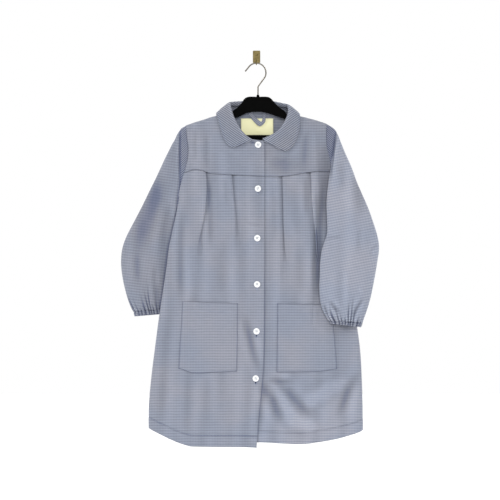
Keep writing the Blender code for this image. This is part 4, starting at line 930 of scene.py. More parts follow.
FRONT_CREASES = rows_of(
    Crease,
    # Yoke
    (-0.1346, -0.156, -0.135, -0.23, 0.001, 0.004, 0.0011),
    (-0.1105, -0.164, -0.1095, -0.256, 0.0015, 0.006, 0.0012),
    (0.1115, -0.156, 0.107, -0.253, 0.002, 0.007, 0.0014),
    (0.126, -0.162, 0.127, -0.25, -0.001, 0.0045, -0.0008),
    (0.025, -0.225, 0.1, -0.238, 0.006, 0.02, 0.0014),
    # Under the yoke
    (-0.104, -0.27, -0.101, -0.42, 0.001, 0.007, 0.0022),
    (-0.069, -0.268, -0.066, -0.33, 0.0, 0.005, 0.0009),
    (0.1085, -0.262, 0.112, -0.35, 0.001, 0.006, 0.0018),
    (0.125, -0.264, 0.125, -0.39, 0.001, 0.003, -0.0014),
    (0.149, -0.262, 0.135, -0.53, 0.003, 0.009, 0.0034),
    (0.082, -0.269, 0.09, -0.39, 0.002, 0.009, 0.0011),
    (0.035, -0.27, 0.04, -0.41, -0.002, 0.008, 0.0009),
    (-0.025, -0.365, 0.012, -0.374, 0.001, 0.0035, 0.0008),
    # Body
    (-0.164, -0.33, -0.166, -0.545, 0.003, 0.008, 0.0026),
    (-0.1355, -0.492, -0.1553, -0.855, 0.004, 0.009, 0.0016),
    (-0.0262, -0.57, 0.008, -0.7, 0.002, 0.008, 0.0024),
    (-0.07, -0.39, -0.076, -0.53, 0.003, 0.012, 0.0013),
    (0.012, -0.72, 0.06, -0.815, -0.004, 0.011, 0.003),
    (0.042, -0.708, 0.123, -0.79, 0.004, 0.011, 0.0028),
    (0.064, -0.79, 0.135, -0.818, 0.003, 0.012, -0.0022),
    (0.017, -0.715, 0.005, -0.835, 0.001, 0.008, 0.0018),
    (0.228, -0.69, 0.18, -0.795, 0.003, 0.01, 0.0024),
    (0.1, -0.77, 0.201, -0.712, -0.003, 0.012, -0.0022),
    (0.025, -0.712, 0.0823, -0.715, 0.002, 0.006, 0.0018),
    (0.125, -0.545, 0.124, -0.592, 0.001, 0.003, 0.002),
    (0.098, -0.41, 0.103, -0.53, 0.003, 0.01, 0.0012),
    (-0.105, -0.705, -0.1, -0.84, 0.003, 0.012, 0.0012),
    (-0.196, -0.56, -0.207, -0.81, 0.004, 0.012, 0.0018),
    (0.19, -0.43, 0.201, -0.63, 0.004, 0.01, 0.0015),
)
BACK_CREASES = rows_of(
    Crease,
    (-0.13, -0.175, -0.124, -0.295, 0.003, 0.008, 0.0016),
    (0.125, -0.17, 0.12, -0.305, -0.003, 0.009, 0.0015),
    (-0.08, -0.23, -0.09, -0.52, 0.005, 0.014, 0.0022),
    (0.07, -0.25, 0.083, -0.56, -0.005, 0.015, 0.002),
    (-0.02, -0.32, -0.026, -0.68, 0.006, 0.016, 0.0018),
    (-0.15, -0.42, -0.175, -0.8, 0.005, 0.014, 0.0026),
    (0.145, -0.44, 0.172, -0.79, -0.005, 0.015, 0.0026),
    (0.025, -0.56, 0.033, -0.835, 0.004, 0.014, 0.0016),
    (-0.062, -0.61, -0.08, -0.835, 0.003, 0.012, 0.0016),
    (0.09, -0.39, 0.05, -0.42, 0.002, 0.006, 0.0009),
    (-0.05, -0.47, -0.1, -0.495, 0.002, 0.006, 0.0009),
)
RIGHT_SLEEVE_CREASES = rows_of(
    Crease,
    (-0.1685, -0.154, -0.169, -0.3, 0.001, 0.0026, 0.0028),
    (-0.209, -0.27, -0.256, -0.425, 0.006, 0.02, 0.0032),
    (-0.19, -0.32, -0.208, -0.43, 0.003, 0.01, 0.0016),
    (-0.224, -0.46, -0.223, -0.535, 0.001, 0.005, 0.0014),
    (-0.262, -0.43, -0.26, -0.5, 0.002, 0.008, 0.0014),
    (-0.215, -0.5, -0.218, -0.56, 0.002, 0.006, 0.0016),
)
LEFT_SLEEVE_CREASES = rows_of(
    Crease,
    (0.1758, -0.166, 0.162, -0.27, 0.002, 0.0034, 0.0036),
    (0.249, -0.427, 0.264, -0.414, 0.001, 0.0035, 0.0011),
    (0.248, -0.429, 0.253, -0.439, 0.0005, 0.003, 0.0009),
    (0.226, -0.376, 0.223, -0.432, 0.001, 0.005, 0.0008),
    (0.195, -0.47, 0.196, -0.55, 0.001, 0.006, -0.001),
    (0.223, -0.51, 0.235, -0.523, 0.0005, 0.0035, -0.0009),
    (0.15, -0.402, 0.184, -0.396, 0.001, 0.004, 0.001),
    (0.162, -0.538, 0.18, -0.564, 0.002, 0.0045, 0.0028),
    (0.148, -0.545, 0.157, -0.57, 0.001, 0.0035, 0.0022),
    (0.233, -0.534, 0.211, -0.574, 0.002, 0.004, 0.0026),
    (0.219, -0.25, 0.233, -0.35, 0.003, 0.012, 0.0014),
    (0.185, -0.23, 0.193, -0.3, 0.002, 0.01, 0.0012),
)


# Materials
def add_material(name):
    material = bpy.data.materials.new(name)
    material.use_nodes = True
    return material, material.node_tree, material.node_tree.nodes["Principled BSDF"]


def add_node(tree, kind, **settings):
    node = tree.nodes.new(kind)
    for key, value in settings.items():
        setattr(node, key, value)
    return node


def link(tree, source, target):
    tree.links.new(source, target)


def add_math(tree, operation, first, second=None):
    node = add_node(tree, "ShaderNodeMath", operation=operation)
    for socket, value in zip(node.inputs, (first, second)):
        if value is None:
            continue
        if isinstance(value, (int, float)):
            socket.default_value = value
        else:
            link(tree, value, socket)
    return node.outputs[0]


def add_noise(tree, vector, scale, detail=2.0):
    node = add_node(tree, "ShaderNodeTexNoise")
    node.inputs["Scale"].default_value = scale
    node.inputs["Detail"].default_value = detail
    link(tree, vector, node.inputs["Vector"])
    return node.outputs["Fac"]


def add_range(tree, value, low, high, to_low, to_high):
    node = add_node(tree, "ShaderNodeMapRange", interpolation_type="SMOOTHSTEP")
    link(tree, value, node.inputs["Value"])
    for name, number in zip(("From Min", "From Max", "To Min", "To Max"), (low, high, to_low, to_high)):
        node.inputs[name].default_value = number
    return node.outputs["Result"]


def add_colours(tree, factor, first, second):
    node = add_node(tree, "ShaderNodeMix", data_type="RGBA")
    link(tree, factor, node.inputs["Factor"])
    node.inputs["A"].default_value = (*first, 1.0)
    node.inputs["B"].default_value = (*second, 1.0)
    return node.outputs["Result"]


def add_product(tree, first, second):
    node = add_node(tree, "ShaderNodeVectorMath", operation="MULTIPLY")
    link(tree, first, node.inputs[0])
    link(tree, second, node.inputs[1])
    return node.outputs["Vector"]


def add_tinted(tree, colour, factor):
    """A colour times a grey factor."""
    node = add_node(tree, "ShaderNodeVectorMath", operation="SCALE")
    link(tree, colour, node.inputs[0])
    link(tree, factor, node.inputs["Scale"])
    return node.outputs["Vector"]


def add_bump(tree, shader, height, strength, distance):
    bump = add_node(tree, "ShaderNodeBump")
    bump.inputs["Strength"].default_value = strength
    bump.inputs["Distance"].default_value = distance
    link(tree, height, bump.inputs["Height"])
    link(tree, bump.outputs[0], shader.inputs["Normal"])


WARP_REPEAT = 0.00346
WEFT_REPEAT = 0.00346
YARN_PITCH = 0.00045
WHITE_YARN = (0.350, 0.368, 0.414)
BLUE_YARN = (0.100, 0.112, 0.166)
WARP_SHARE = 0.18             # of the blue that the warp gives
WEFT_SHARE = 0.82
CHECK_STRENGTH = 0.72         # of the check where the weave lies straight
SHADE_TINT = (0.84, 0.90, 1.14)        # shaded cloth turns violet
COOL_TINT = (0.965, 0.998, 1.035)      # between these two the cloth wanders slowly
WARM_TINT = (1.022, 1.000, 0.985)


def smock_cloth():
    """Fine woven check of white and blue yarns, with slubs, a soft crepe and a slight sheen."""
    material, tree, shader = add_material("smock_check_cloth")
    place = add_node(tree, "ShaderNodeAttribute", attribute_name="weave").outputs["Vector"]
    tone = add_node(tree, "ShaderNodeAttribute", attribute_name="tone").outputs["Fac"]
    parts = add_node(tree, "ShaderNodeSeparateXYZ")
    link(tree, place, parts.inputs[0])
    wander = add_math(tree, "MULTIPLY", add_noise(tree, place, 25.0), 0.0010)
    bands = []
    for axis, repeat in (("X", WARP_REPEAT), ("Y", WEFT_REPEAT)):
        along = add_math(tree, "ADD", parts.outputs[axis], wander)
        turn = add_math(tree, "MULTIPLY", along, 2 * math.pi / repeat)
        bands.append(add_range(tree, add_math(tree, "SINE", turn), -0.6, 0.6, 0.0, 1.0))
    warp = add_math(tree, "MULTIPLY", bands[0], WARP_SHARE)
    weft = add_math(tree, "MULTIPLY", bands[1], WEFT_SHARE)
    strength = add_math(tree, "ADD", parts.outputs["Z"], CHECK_STRENGTH)
    swing = add_math(tree, "SUBTRACT", add_math(tree, "ADD", warp, weft), 0.5)
    blue = add_math(tree, "ADD", add_math(tree, "MULTIPLY", swing, strength), 0.5)
    colour = add_colours(tree, blue, WHITE_YARN, BLUE_YARN)
    shade = add_colours(tree, add_range(tree, tone, 0.50, 0.88, 0.0, 1.0), SHADE_TINT, (1.0, 1.0, 1.0))
    casts = add_range(tree, add_noise(tree, place, 9.0, 3.0), 0.35, 0.65, 0.0, 1.0)
    cast = add_colours(tree, casts, COOL_TINT, WARM_TINT)
    for tint in (shade, cast):
        colour = add_product(tree, colour, tint)
    patches = add_range(tree, add_noise(tree, place, 9.0, 3.0), 0.3, 0.7, 0.955, 1.035)
    slubs = add_node(tree, "ShaderNodeMapping")
    slubs.inputs["Scale"].default_value = (60.0, 900.0, 1.0)
    link(tree, place, slubs.inputs["Vector"])
    streaks = add_range(tree, add_noise(tree, slubs.outputs[0], 1.0, 2.0), 0.3, 0.7, 0.95, 1.05)
    # the colour is multiplied by the painted light and shade carried on each point
    factor = add_math(tree, "MULTIPLY", add_math(tree, "MULTIPLY", patches, streaks), tone)
    link(tree, add_tinted(tree, colour, factor), shader.inputs["Base Color"])
    yarns = []
    for axis in ("X", "Y"):
        turn = add_math(tree, "MULTIPLY", parts.outputs[axis], 2 * math.pi / YARN_PITCH)
        yarns.append(add_math(tree, "SINE", turn))
    weaving = add_math(tree, "MULTIPLY", yarns[0], yarns[1])
    crepe = add_noise(tree, place, 700.0, 3.0)
    height = add_math(tree, "ADD", add_math(tree, "MULTIPLY", weaving, 0.35), crepe)
    add_bump(tree, shader, height, 0.35, 0.00025)
    roughness = add_range(tree, add_noise(tree, place, 120.0), 0.3, 0.7, 0.78, 0.90)
    link(tree, roughness, shader.inputs["Roughness"])
    shader.inputs["Sheen Weight"].default_value = 0.15
    shader.inputs["Sheen Roughness"].default_value = 0.5
    shader.inputs["Specular IOR Level"].default_value = 0.3
    return material


GRAIN_SCALE = 400.0


def plain_finish(name, colour, roughness, metallic=0.0, depth=0.00004, spread=0.06, specular=0.4):
    """Moulded or metal surface: slight mottling of colour and gloss and a fine grain."""
    material, tree, shader = add_material(name)
    place = add_node(tree, "ShaderNodeTexCoord").outputs["Object"]
    mottle = add_noise(tree, place, 55.0, 4.0)
    low = [part * (1 - spread) for part in colour]
    high = [min(part * (1 + spread), 1) for part in colour]
    colours = add_colours(tree, mottle, low, high)
    link(tree, colours, shader.inputs["Base Color"])
    gloss = add_range(tree, add_noise(tree, place, 130.0, 3.0), 0.3, 0.7, roughness * 0.85, roughness * 1.15)
    link(tree, gloss, shader.inputs["Roughness"])
    shader.inputs["Metallic"].default_value = metallic
    shader.inputs["Specular IOR Level"].default_value = specular
    add_bump(tree, shader, add_noise(tree, place, GRAIN_SCALE, 3.0), 0.25, depth)
    return material


# Making objects
def placed(name, mesh, material):
    """A smooth mesh of one material as an object in the scene."""
    mesh.materials.clear()
    mesh.materials.append(material)
    mesh.shade_smooth()
    made = bpy.data.objects.new(name, mesh)
    bpy.context.scene.collection.objects.link(made)
    return made


def mesh_of(name, points, faces, material):
    mesh = bpy.data.meshes.new(name)
    mesh.from_pydata(points, [], faces)
    mesh.update()
    return placed(name, mesh, material)


def stand_in(piece, node):
    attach(piece, "root")
    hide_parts(node)


def closed_up(sheet, values):
    """Values with the first column repeated at the end where the sheet is a tube."""
    return np.concatenate([values, values[:, :1]], axis=1) if sheet.closed else values


def add_cloth(name, sheet, material, thickness):
    """A thin shell with the sheet at its middle."""
    index = closed_up(sheet, np.arange(sheet.tone.size).reshape(sheet.tone.shape))
    quads = np.stack([index[:-1, :-1], index[:-1, 1:], index[1:, 1:], index[1:, :-1]], axis=-1)
    quads = quads.reshape(-1, 4)
    a, b, c = (sheet.points.reshape(-1, 3)[quads[:, k]] for k in (0, 1, 2))
    wanted = sheet.normals().reshape(-1, 3)[quads[:, 0]]
    if (np.cross(b - a, c - b) * wanted).sum() < 0:
        quads = quads[:, ::-1]
    cloth = mesh_of(name, sheet.points.reshape(-1, 3).tolist(), quads.tolist(), material)
    weave = cloth.data.attributes.new("weave", "FLOAT_VECTOR", "POINT")
    weave.data.foreach_set("vector", sheet.weave.reshape(-1).astype(np.float32))
    # painted light and shade for each point, which the cloth material multiplies into its colour
    tone = cloth.data.attributes.new("tone", "FLOAT", "POINT")
    tone.data.foreach_set("value", sheet.tone.reshape(-1).astype(np.float32))
    wall = cloth.modifiers.new("Wall", "SOLIDIFY")
    wall.thickness = thickness
    wall.offset = 0.0
    return cloth


def cut_area(sheet):
    """Area of the cloth in a sheet."""
    points = closed_up(sheet, sheet.points)
    a = points[1:, 1:] - points[:-1, :-1]
    b = points[1:, :-1] - points[:-1, 1:]
    return float(np.linalg.norm(np.cross(a, b), axis=-1).sum() / 2)


def add_sewn(node, sheet, material, flat, thickness=SHELL):
    """The cloth that stands for a node; the smaller of its area and the area it was cut to is worked out but
    not kept.
    """
    piece = add_cloth(node + "_cloth", sheet, material, thickness)
    stand_in(piece, node)
    min(cut_area(sheet), flat[0] * flat[1])


# Rows of sewing: small raised stitches along a line on a sheet
STITCH_LENGTH = 0.0024
STITCH_GAP = 0.0007
THREAD_RADIUS = 0.00022
THREAD_SIDES = 6
FULL_SHARES = (0.25, 0.75)    # of a stitch's length, between which it has its full radius
STITCH_SINK = 0.60            # of its radius, at a stitch's two ends
STITCH_RISE = 0.45            # of its radius, in its middle


def run_along(points):
    """Distance of each point from the first, along the rows."""
    steps = np.linalg.norm(np.diff(points, axis=0), axis=-1)
    return np.concatenate([np.zeros((1, *steps.shape[1:])), np.cumsum(steps, axis=0)])


def from_edge(side, values):
    """A sheet's points or normals, turned so that their rows run in from one edge."""
    turned = values.transpose(1, 0, 2) if side in ("start", "end") else values
    return turned[::-1] if side in ("bottom", "end") else turned


def edge_run(sheet, side):
    """Distance of each point from one edge of the sheet, along the grid."""
    run = run_along(from_edge(side, sheet.points))
    run = run[::-1] if side in ("bottom", "end") else run
    return run.T if side in ("start", "end") else run


def edge_line(sheet, side, inset):
    """Points and directions on a sheet at one distance in from one of its four edges."""
    points = from_edge(side, sheet.points)
    run = run_along(points)
    found = []
    for values in (points, from_edge(side, sheet.normals())):
        found.append(np.array([
            [np.interp(inset, run[:, index], values[:, index, axis]) for axis in range(3)]
            for index in range(points.shape[1])
        ]))
    return found


def trimmed(line, out, cut):
    """A line without the stretch next to each of its two ends."""
    run = run_along(line)
    keep = (run >= cut) & (run <= run[-1] - cut)
    return line[keep], out[keep]


def stitch_shapes(line, out, length=STITCH_LENGTH, gap=STITCH_GAP, radius=THREAD_RADIUS, lift=0.0):
    """Points and faces of a row of stitches."""
    run = run_along(line)
    count = int(run[-1] / (length + gap))
    points = []
    faces = []

    def at(distance, values):
        return np.array([np.interp(distance, run, values[:, axis]) for axis in range(3)])

    for number in range(count):
        start = number * (length + gap)
        ends = [at(start, line), at(start + length, line)]
        normal = at(start + length / 2, out)
        normal /= np.linalg.norm(normal)
        along = ends[1] - ends[0]
        along /= np.linalg.norm(along) + 1e-12
        side = np.cross(along, normal)
        first = len(points)
        base = normal * (SHELL / 2 + lift)
        points.append(ends[0] + base - normal * radius * STITCH_SINK)
        for share in FULL_SHARES:
            middle = ends[0] + (ends[1] - ends[0]) * share + base + normal * radius * STITCH_RISE
            for turn in range(THREAD_SIDES):
                angle = 2 * math.pi * turn / THREAD_SIDES
                points.append(middle + radius * (math.cos(angle) * side + math.sin(angle) * normal))
        points.append(ends[1] + base - normal * radius * STITCH_SINK)
        near, far = first + 1, first + 1 + THREAD_SIDES
        for turn in range(THREAD_SIDES):
            after = (turn + 1) % THREAD_SIDES
            faces.append((first, near + after, near + turn))
            faces.append((near + turn, near + after, far + after, far + turn))
            faces.append((far + THREAD_SIDES, far + turn, far + after))
    return points, faces


def add_stitches(name, runs, material):
    """One joined piece for many rows of stitches."""
    points = []
    faces = []
    for run_points, run_faces in runs:
        start = len(points)
        points += [tuple(point) for point in run_points]
        faces += [tuple(start + index for index in face) for face in run_faces]
    stitches = mesh_of(name, points, faces, material)
    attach(stitches, "root")


def edge_stitches(sheet, sides, inset, lift=0.0):
    """Rows of stitches on a sheet, at one distance in from some of its edges."""
    return [stitch_shapes(*edge_line(sheet, side, inset), lift=lift) for side in sides]


# The garment
PANEL_STEP = 0.0026
BACK_STEP = 0.0040
SLEEVE_STEP = 0.0028
COLLAR_STEP = 0.0022
HEM_DEPTH = 0.025
HEM_STEP = 0.00035            # how far the turned hem stands proud
HEM_RAMP = 0.002
HEM_DIP = 0.0004              # how deep its row of stitches draws it in
POCKET_DIP = 0.0003
DIP_WIDTH = 0.0016
EDGE_DIP_WIDTH = 0.0014
SEWN_SHADE = 0.34             # painted shade on a hem's stitch line and on a pocket's edges
SEWN_WIDTH = {"hem": 0.0015, "pocket": 0.0013}
SIDE_CALM = 0.014             # the creases die out this far from a side seam
SIDE_SEAM_WIDTH = 0.0018
SIDE_SEAM_DIP = 0.0005
SIDE_SEAM_SHADE = 0.40
SIDE_SEAM_START = 0.004       # height below the underarm over which it begins
POCKET_LIFT = 0.0011
POCKET_HEM = 0.020
MOUTH_BULGE = 0.0012          # how far a pocket's mouth stands out, dying out over its reach
MOUTH_REACH = 0.030
MOUTH_SIDE = (0.002, 0.040)   # distances from its two sides between which that begins
MOUTH_SHADE = 0.22
MOUTH_EDGE = 0.0012           # width of that shade
EDGE_STITCH = 0.0020          # from a seam's edge to its row of stitches
COLLAR_CENTRE = Place(0.0040, -0.1250)
COLLAR_REACH = Place(0.1050, 0.0950)
COLLAR_CALM = (1.0, 1.25)     # shares of that reach between which the creases begin


def smooth(values, low, high):
    t = np.clip((values - low) / (high - low), 0, 1)
    return t * t * (3 - 2 * t)


def clear_of_collar(x, z):
    """0 under the collar and 1 away from it."""
    reach = np.hypot((x - COLLAR_CENTRE.x) / COLLAR_REACH.x, (z - COLLAR_CENTRE.z) / COLLAR_REACH.z)
    return smooth(reach, *COLLAR_CALM)


def front_push(x, z):
    amount = crease_push(x, z, FRONT_CREASES) + uneven(x, z, 0)
    return amount * clear_of_collar(x, z)


CREASE_SHADE_RATE = 110.0             # painted shade: how much a trough darkens, and painted highlight: how much a ridge lightens, for each metre
CREASE_SHADE_RANGE = (-0.0030, 0.0012)         # the deepest trough and the highest ridge that count


def shaded_push(sheet, amount):
    """Moves the cloth, with painted shade in the troughs and a painted highlight on the ridges."""
    sheet.push(amount)
    sheet.tone *= 1 + CREASE_SHADE_RATE * np.clip(amount, *CREASE_SHADE_RANGE)


def from_side_seams(sheet, sides):
    """0 on a side seam and 1 away from it, so that the two pieces sewn there still meet."""
    share = np.ones(sheet.tone.shape)
    for side in sides:
        share *= smooth(edge_run(sheet, side), 0.0, SIDE_CALM)
    return share


def side_seam(sheet, side):
    """Cloth that turns in at a side seam, below the armhole, with a painted shade along it."""
    run = edge_run(sheet, side)
    below = smooth(-sheet.z, -UNDERARM_Z, -UNDERARM_Z + SIDE_SEAM_START)
    near = bell(run, SIDE_SEAM_WIDTH) * below
    sheet.push(-SIDE_SEAM_DIP * near)
    sheet.tone *= 1 - SIDE_SEAM_SHADE * near


def sewn_hem(sheet):
    """The turned-up hem stands a little proud below its stitch line, which is drawn in and given a painted
    shade.
    """
    run = edge_run(sheet, "bottom")
    sheet.push(HEM_STEP * smooth(-run, -HEM_DEPTH, -HEM_DEPTH + HEM_RAMP))
    sheet.push(-HEM_DIP * bell(run - HEM_DEPTH, DIP_WIDTH))
    sheet.tone *= 1 - SEWN_SHADE * bell(run - HEM_DEPTH, SEWN_WIDTH["hem"])


def seam_edge(sheet, side, width=0.0012, painted_shade=0.15, dip=0.0003):
    """Cloth that turns in at a seam: it dips and takes a painted shade towards the edge."""
    run = edge_run(sheet, side)
    near = bell(run, width)
    sheet.push(-dip * near)
    sheet.tone *= 1 - painted_shade * near


LOW_LIGHT = 0.09              # painted light: how much lighter the left front is drawn near its hem
LOW_LIGHT_START = (0.70, 0.78)         # depths below the origin between which that begins
PLEAT_SHADE = (1.0, 1.0, 0.70, 0.60, 0.60, 0.66, 0.82)
PLEAT_SHADE_END = (0.36, 0.47)         # depths below the origin between which it fades
FAINT_PLEAT = 0.4             # share of that shade on the right inner pleat
LAP_SHADE = 0.18              # beside the top front's edge, with more at its top and low down
LAP_SHADE_WIDTH = 0.0020
TOP_LAP_SHADE = 0.16
TOP_LAP = (0.23, 0.29)        # depths below the origin between which the top's share ends
LOW_LAP_SHADE = 0.26
LOW_LAP = (0.38, 0.46)        # and between which the lower share begins


def shade_pleats(sheet, columns):
    """Darkens the hidden layers of each pleat, which show as its line."""
    shade = []
    for column in columns:
        strength = FAINT_PLEAT if column.pleat is RIGHT_INNER else 1.0
        shade.append(1.0 if column.pleat is None else mix(1.0, PLEAT_SHADE[column.order], strength))
    across = np.interp(np.arange(sheet.tone.shape[1]), sheet.column_at, shade)
    fade = 1 - smooth(-sheet.z, *PLEAT_SHADE_END)
    sheet.tone *= 1 - (1 - across[None, :]) * fade


def shade_under_lap(sheet):
    """Darkens the under front in a thin line beside the top front's edge."""
    edge = np.array([x_on(TOP_FRONT_EDGE, z) for z in sheet.z.ravel()]).reshape(sheet.z.shape)
    low = smooth(-sheet.z, *LOW_LAP)
    top = 1 - smooth(-sheet.z, *TOP_LAP)
    shade = LAP_SHADE + LOW_LAP_SHADE * low + TOP_LAP_SHADE * top
    sheet.tone *= 1 - shade * bell(sheet.x - edge, LAP_SHADE_WIDTH)


FRONTS = {
    "right": (RIGHT_FRONT_COLUMNS, RIGHT_YOKE_SEAM, top_front_y),
    "left": (LEFT_FRONT_COLUMNS, LEFT_YOKE_SEAM, front_y),
}
HEMS = {"right": RIGHT_HEM, "left": LEFT_HEM}
NECKS = {"right": (RIGHT_NECKLINE, RIGHT_NECK_X, 1), "left": (LEFT_NECKLINE, LEFT_NECK_X, -1)}
OUTER_EDGE = {"right": "start", "left": "end"}
# painted shade over each front yoke, the left one drawn darker
YOKE_PAINTED_SHADE = {"right": 0.98, "left": 0.91}
TOP_HOLE = Place(-0.0085, -0.1902)     # shade round the top buttonhole
TOP_HOLE_REACH = Place(0.0050, 0.0035)
TOP_HOLE_SHADE = 0.45
BACK_CALM = (0.155, 0.200)    # depths below the origin between which the back's creases begin


def crease_front(sheet, side):
    shaded_push(sheet, front_push(sheet.x, sheet.z) * from_side_seams(sheet, [OUTER_EDGE[side]]))


def build_fronts(cloth, thread):
    made = {}
    for side, (columns, seam, depth) in FRONTS.items():
        sheet = Sheet(panel_grid(columns, seam, HEMS[side], depth), PANEL_STEP)
        sheet.weave[..., :2] = sheet.turned_weave(0.0)
        crease_front(sheet, side)
        sewn_hem(sheet)
        seam_edge(sheet, "top")
        side_seam(sheet, OUTER_EDGE[side])
        shade_pleats(sheet, columns)
        if side == "left":
            shade_under_lap(sheet)
            sheet.tone *= 1 + LOW_LIGHT * smooth(-sheet.z, *LOW_LIGHT_START)
        made[side] = sheet
        name = f"front_panel_{side}"
        add_sewn(name, sheet, cloth, PANEL_FLAT[side])
        add_stitches(name + "_stitches", edge_stitches(sheet, ["bottom"], HEM_DEPTH), thread)
    return made


def build_yokes(cloth, thread):
    for side, (columns, seam, depth) in FRONTS.items():
        sheet = Sheet(yoke_grid(columns, seam, *NECKS[side], depth), PANEL_STEP)
        sheet.weave[..., :2] = sheet.turned_weave(0.0)
        sheet.weave_over_ridge()
        crease_front(sheet, side)
        seam_edge(sheet, "bottom", painted_shade=0.12, dip=-0.0001)
        seam_edge(sheet, OUTER_EDGE[side], painted_shade=0.15, dip=0.0)
        sheet.tone *= YOKE_PAINTED_SHADE[side]
        if side == "left":
            shade_under_lap(sheet)
        else:
            x, z = (sheet.x - TOP_HOLE.x) / TOP_HOLE_REACH.x, (sheet.z - TOP_HOLE.z) / TOP_HOLE_REACH.z
            sheet.tone *= 1 - TOP_HOLE_SHADE * np.exp(-(x**2) - z**2)
        name = f"front_yoke_{side}"
        add_sewn(name, sheet, cloth, YOKE_FLAT)
        add_stitches(name + "_stitches", edge_stitches(sheet, ["bottom"], EDGE_STITCH), thread)


def build_pockets(panels, cloth, thread):
    right, left = RIGHT_FRONT_COLUMNS.index, LEFT_FRONT_COLUMNS.index
    spans = {
        "right": (right(RIGHT_POCKET_COLUMN), right(RIGHT_INNER_COLUMNS[1]) + PLEAT_COUNT // 2),
        "left": (left(LEFT_POCKET_INNER_COLUMN), left(LEFT_POCKET_COLUMN)),
    }
    sewn = ("start", "end", "bottom")
    for side, (first, last) in spans.items():
        panel = panels[side]
        rows = slice(panel.row_at[POCKET_TOP_ROW], panel.row_at[POCKET_BOTTOM_ROW] + 1)
        columns = slice(panel.column_at[first], panel.column_at[last] + 1)
        sheet = panel.part(rows, columns, POCKET_LIFT)
        down = edge_run(sheet, "top")
        sheet.tone *= 1 - MOUTH_SHADE * bell(down, MOUTH_EDGE)
        across = np.minimum(edge_run(sheet, "start"), edge_run(sheet, "end"))
        sheet.push(MOUTH_BULGE * np.exp(-down / MOUTH_REACH) * smooth(across, *MOUTH_SIDE))
        sheet.push(-POCKET_DIP * bell(down - POCKET_HEM, DIP_WIDTH))
        for edge in sewn:
            run = edge_run(sheet, edge)
            sheet.push(-POCKET_DIP * bell(run - EDGE_STITCH, EDGE_DIP_WIDTH))
            sheet.tone *= 1 - SEWN_SHADE * bell(run, SEWN_WIDTH["pocket"])
        name = f"pocket_{side}"
        add_sewn(name, sheet, cloth, POCKET_FLAT)
        runs = edge_stitches(sheet, sewn, EDGE_STITCH) + edge_stitches(sheet, ["top"], POCKET_HEM)
        add_stitches(name + "_stitches", runs, thread)


def build_back(cloth, thread):
    sheet = Sheet(back_grid(), BACK_STEP, outward=(0, 1, 0))
    sheet.weave[..., :2] = sheet.turned_weave(0.0)
    sheet.weave_over_ridge()
    amount = crease_push(sheet.x, sheet.z, BACK_CREASES) + uneven(sheet.x, sheet.z, 3)
    amount = amount * smooth(-sheet.z, *BACK_CALM)
    shaded_push(sheet, amount * from_side_seams(sheet, ["start", "end"]))
    sewn_hem(sheet)
    side_seam(sheet, "start")
    side_seam(sheet, "end")
    add_sewn("back_panel", sheet, cloth, BACK_FLAT)
    add_stitches("back_panel_stitches", edge_stitches(sheet, ["bottom"], HEM_DEPTH), thread)


# Gathers at a wrist: folds of uneven width, height and length
GATHERS = 22
GATHER_DEPTH = 0.0021
GATHER_SHADE = 0.55           # painted shade in the valleys
GATHER_LIGHT = 0.16           # painted highlight on the ridges


def gather_wave(share, away, seed):
    """Height of the gathers at a share of the way round, at a distance from the cuff."""
    turn = 2 * math.pi * share
    phase = GATHERS * turn + 1.6 * np.sin(3 * turn + seed) + 0.9 * np.sin(7 * turn + 2.0 * seed)
    length = 0.021 + 0.010 * np.sin(5 * turn + seed) + 0.007 * np.sin(11 * turn + 3.0 * seed)
    height = 1 + 0.35 * np.sin(4 * turn + 1.0 + seed) + 0.25 * np.sin(9 * turn + seed)
    wave = np.sin(phase)
    wave = np.sign(wave) * np.abs(wave) ** 0.8
    fine = 0.35 * np.sin(2.0 * phase + 1.3) * np.exp(-away / 0.006)
    return GATHER_DEPTH * height * (wave + fine) * np.exp(-((away / length) ** 1.3))


def gathered(sheet, away, seed):
    """Raises the gathers, with painted shade in the valleys between them near the cuff and a painted
    highlight on their ridges.
    """
    steps = np.linalg.norm(np.diff(sheet.points[-1], axis=0, append=sheet.points[-1][:1]), axis=1)
    share = np.concatenate([[0], np.cumsum(steps)[:-1]]) / steps.sum()
    wave = gather_wave(share[None, :], away, seed)
    sheet.push(wave)
    sheet.tone *= 1 - GATHER_SHADE * smooth(-wave, 0.0001, 0.0016)
    sheet.tone *= 1 + GATHER_LIGHT * smooth(wave, 0.0004, 0.0020)


# The turned strip of each sleeve's head, from the armhole seam to its valley
Valley = namedtuple("Valley", "x0 z0 x1 z1 grain")
HEAD_VALLEYS = {
    "right": Valley(-0.1685, -0.1540, -0.1690, -0.3000, 44.0),
    "left": Valley(0.1760, -0.1600, 0.1640, -0.2500, -44.0),
}
# painted shade on each sleeve's turned head strip
HEAD_PAINTED_SHADE = {"right": 0.80, "left": 0.58}
VALLEY_SHADE = 0.42           # along the valley itself
VALLEY_WIDTH = 0.0018
HEAD_CHECK = 0.60             # the check shows this much stronger there


def turn_head_strip(sheet, side, facing):
    """Cloth between the armhole seam and the valley lies on the cross and in shade."""
    valley = HEAD_VALLEYS[side]
    share = (sheet.z - valley.z0) / (valley.z1 - valley.z0)
    line = mix(valley.x0, valley.x1, share)
    inside = (np.abs(sheet.x) < np.abs(line)) & (share < 1.0) & (facing > 0.5)
    sheet.weave[inside, :2] = sheet.turned_weave(valley.grain)[inside]
    sheet.weave[inside, 2] = HEAD_CHECK
    sheet.tone[inside] *= HEAD_PAINTED_SHADE[side]
    near = bell(sheet.x - line, VALLEY_WIDTH) * smooth(share, -0.05, 0.05) * (1 - smooth(share, 0.95, 1.2))
    sheet.tone *= 1 - VALLEY_SHADE * near * facing
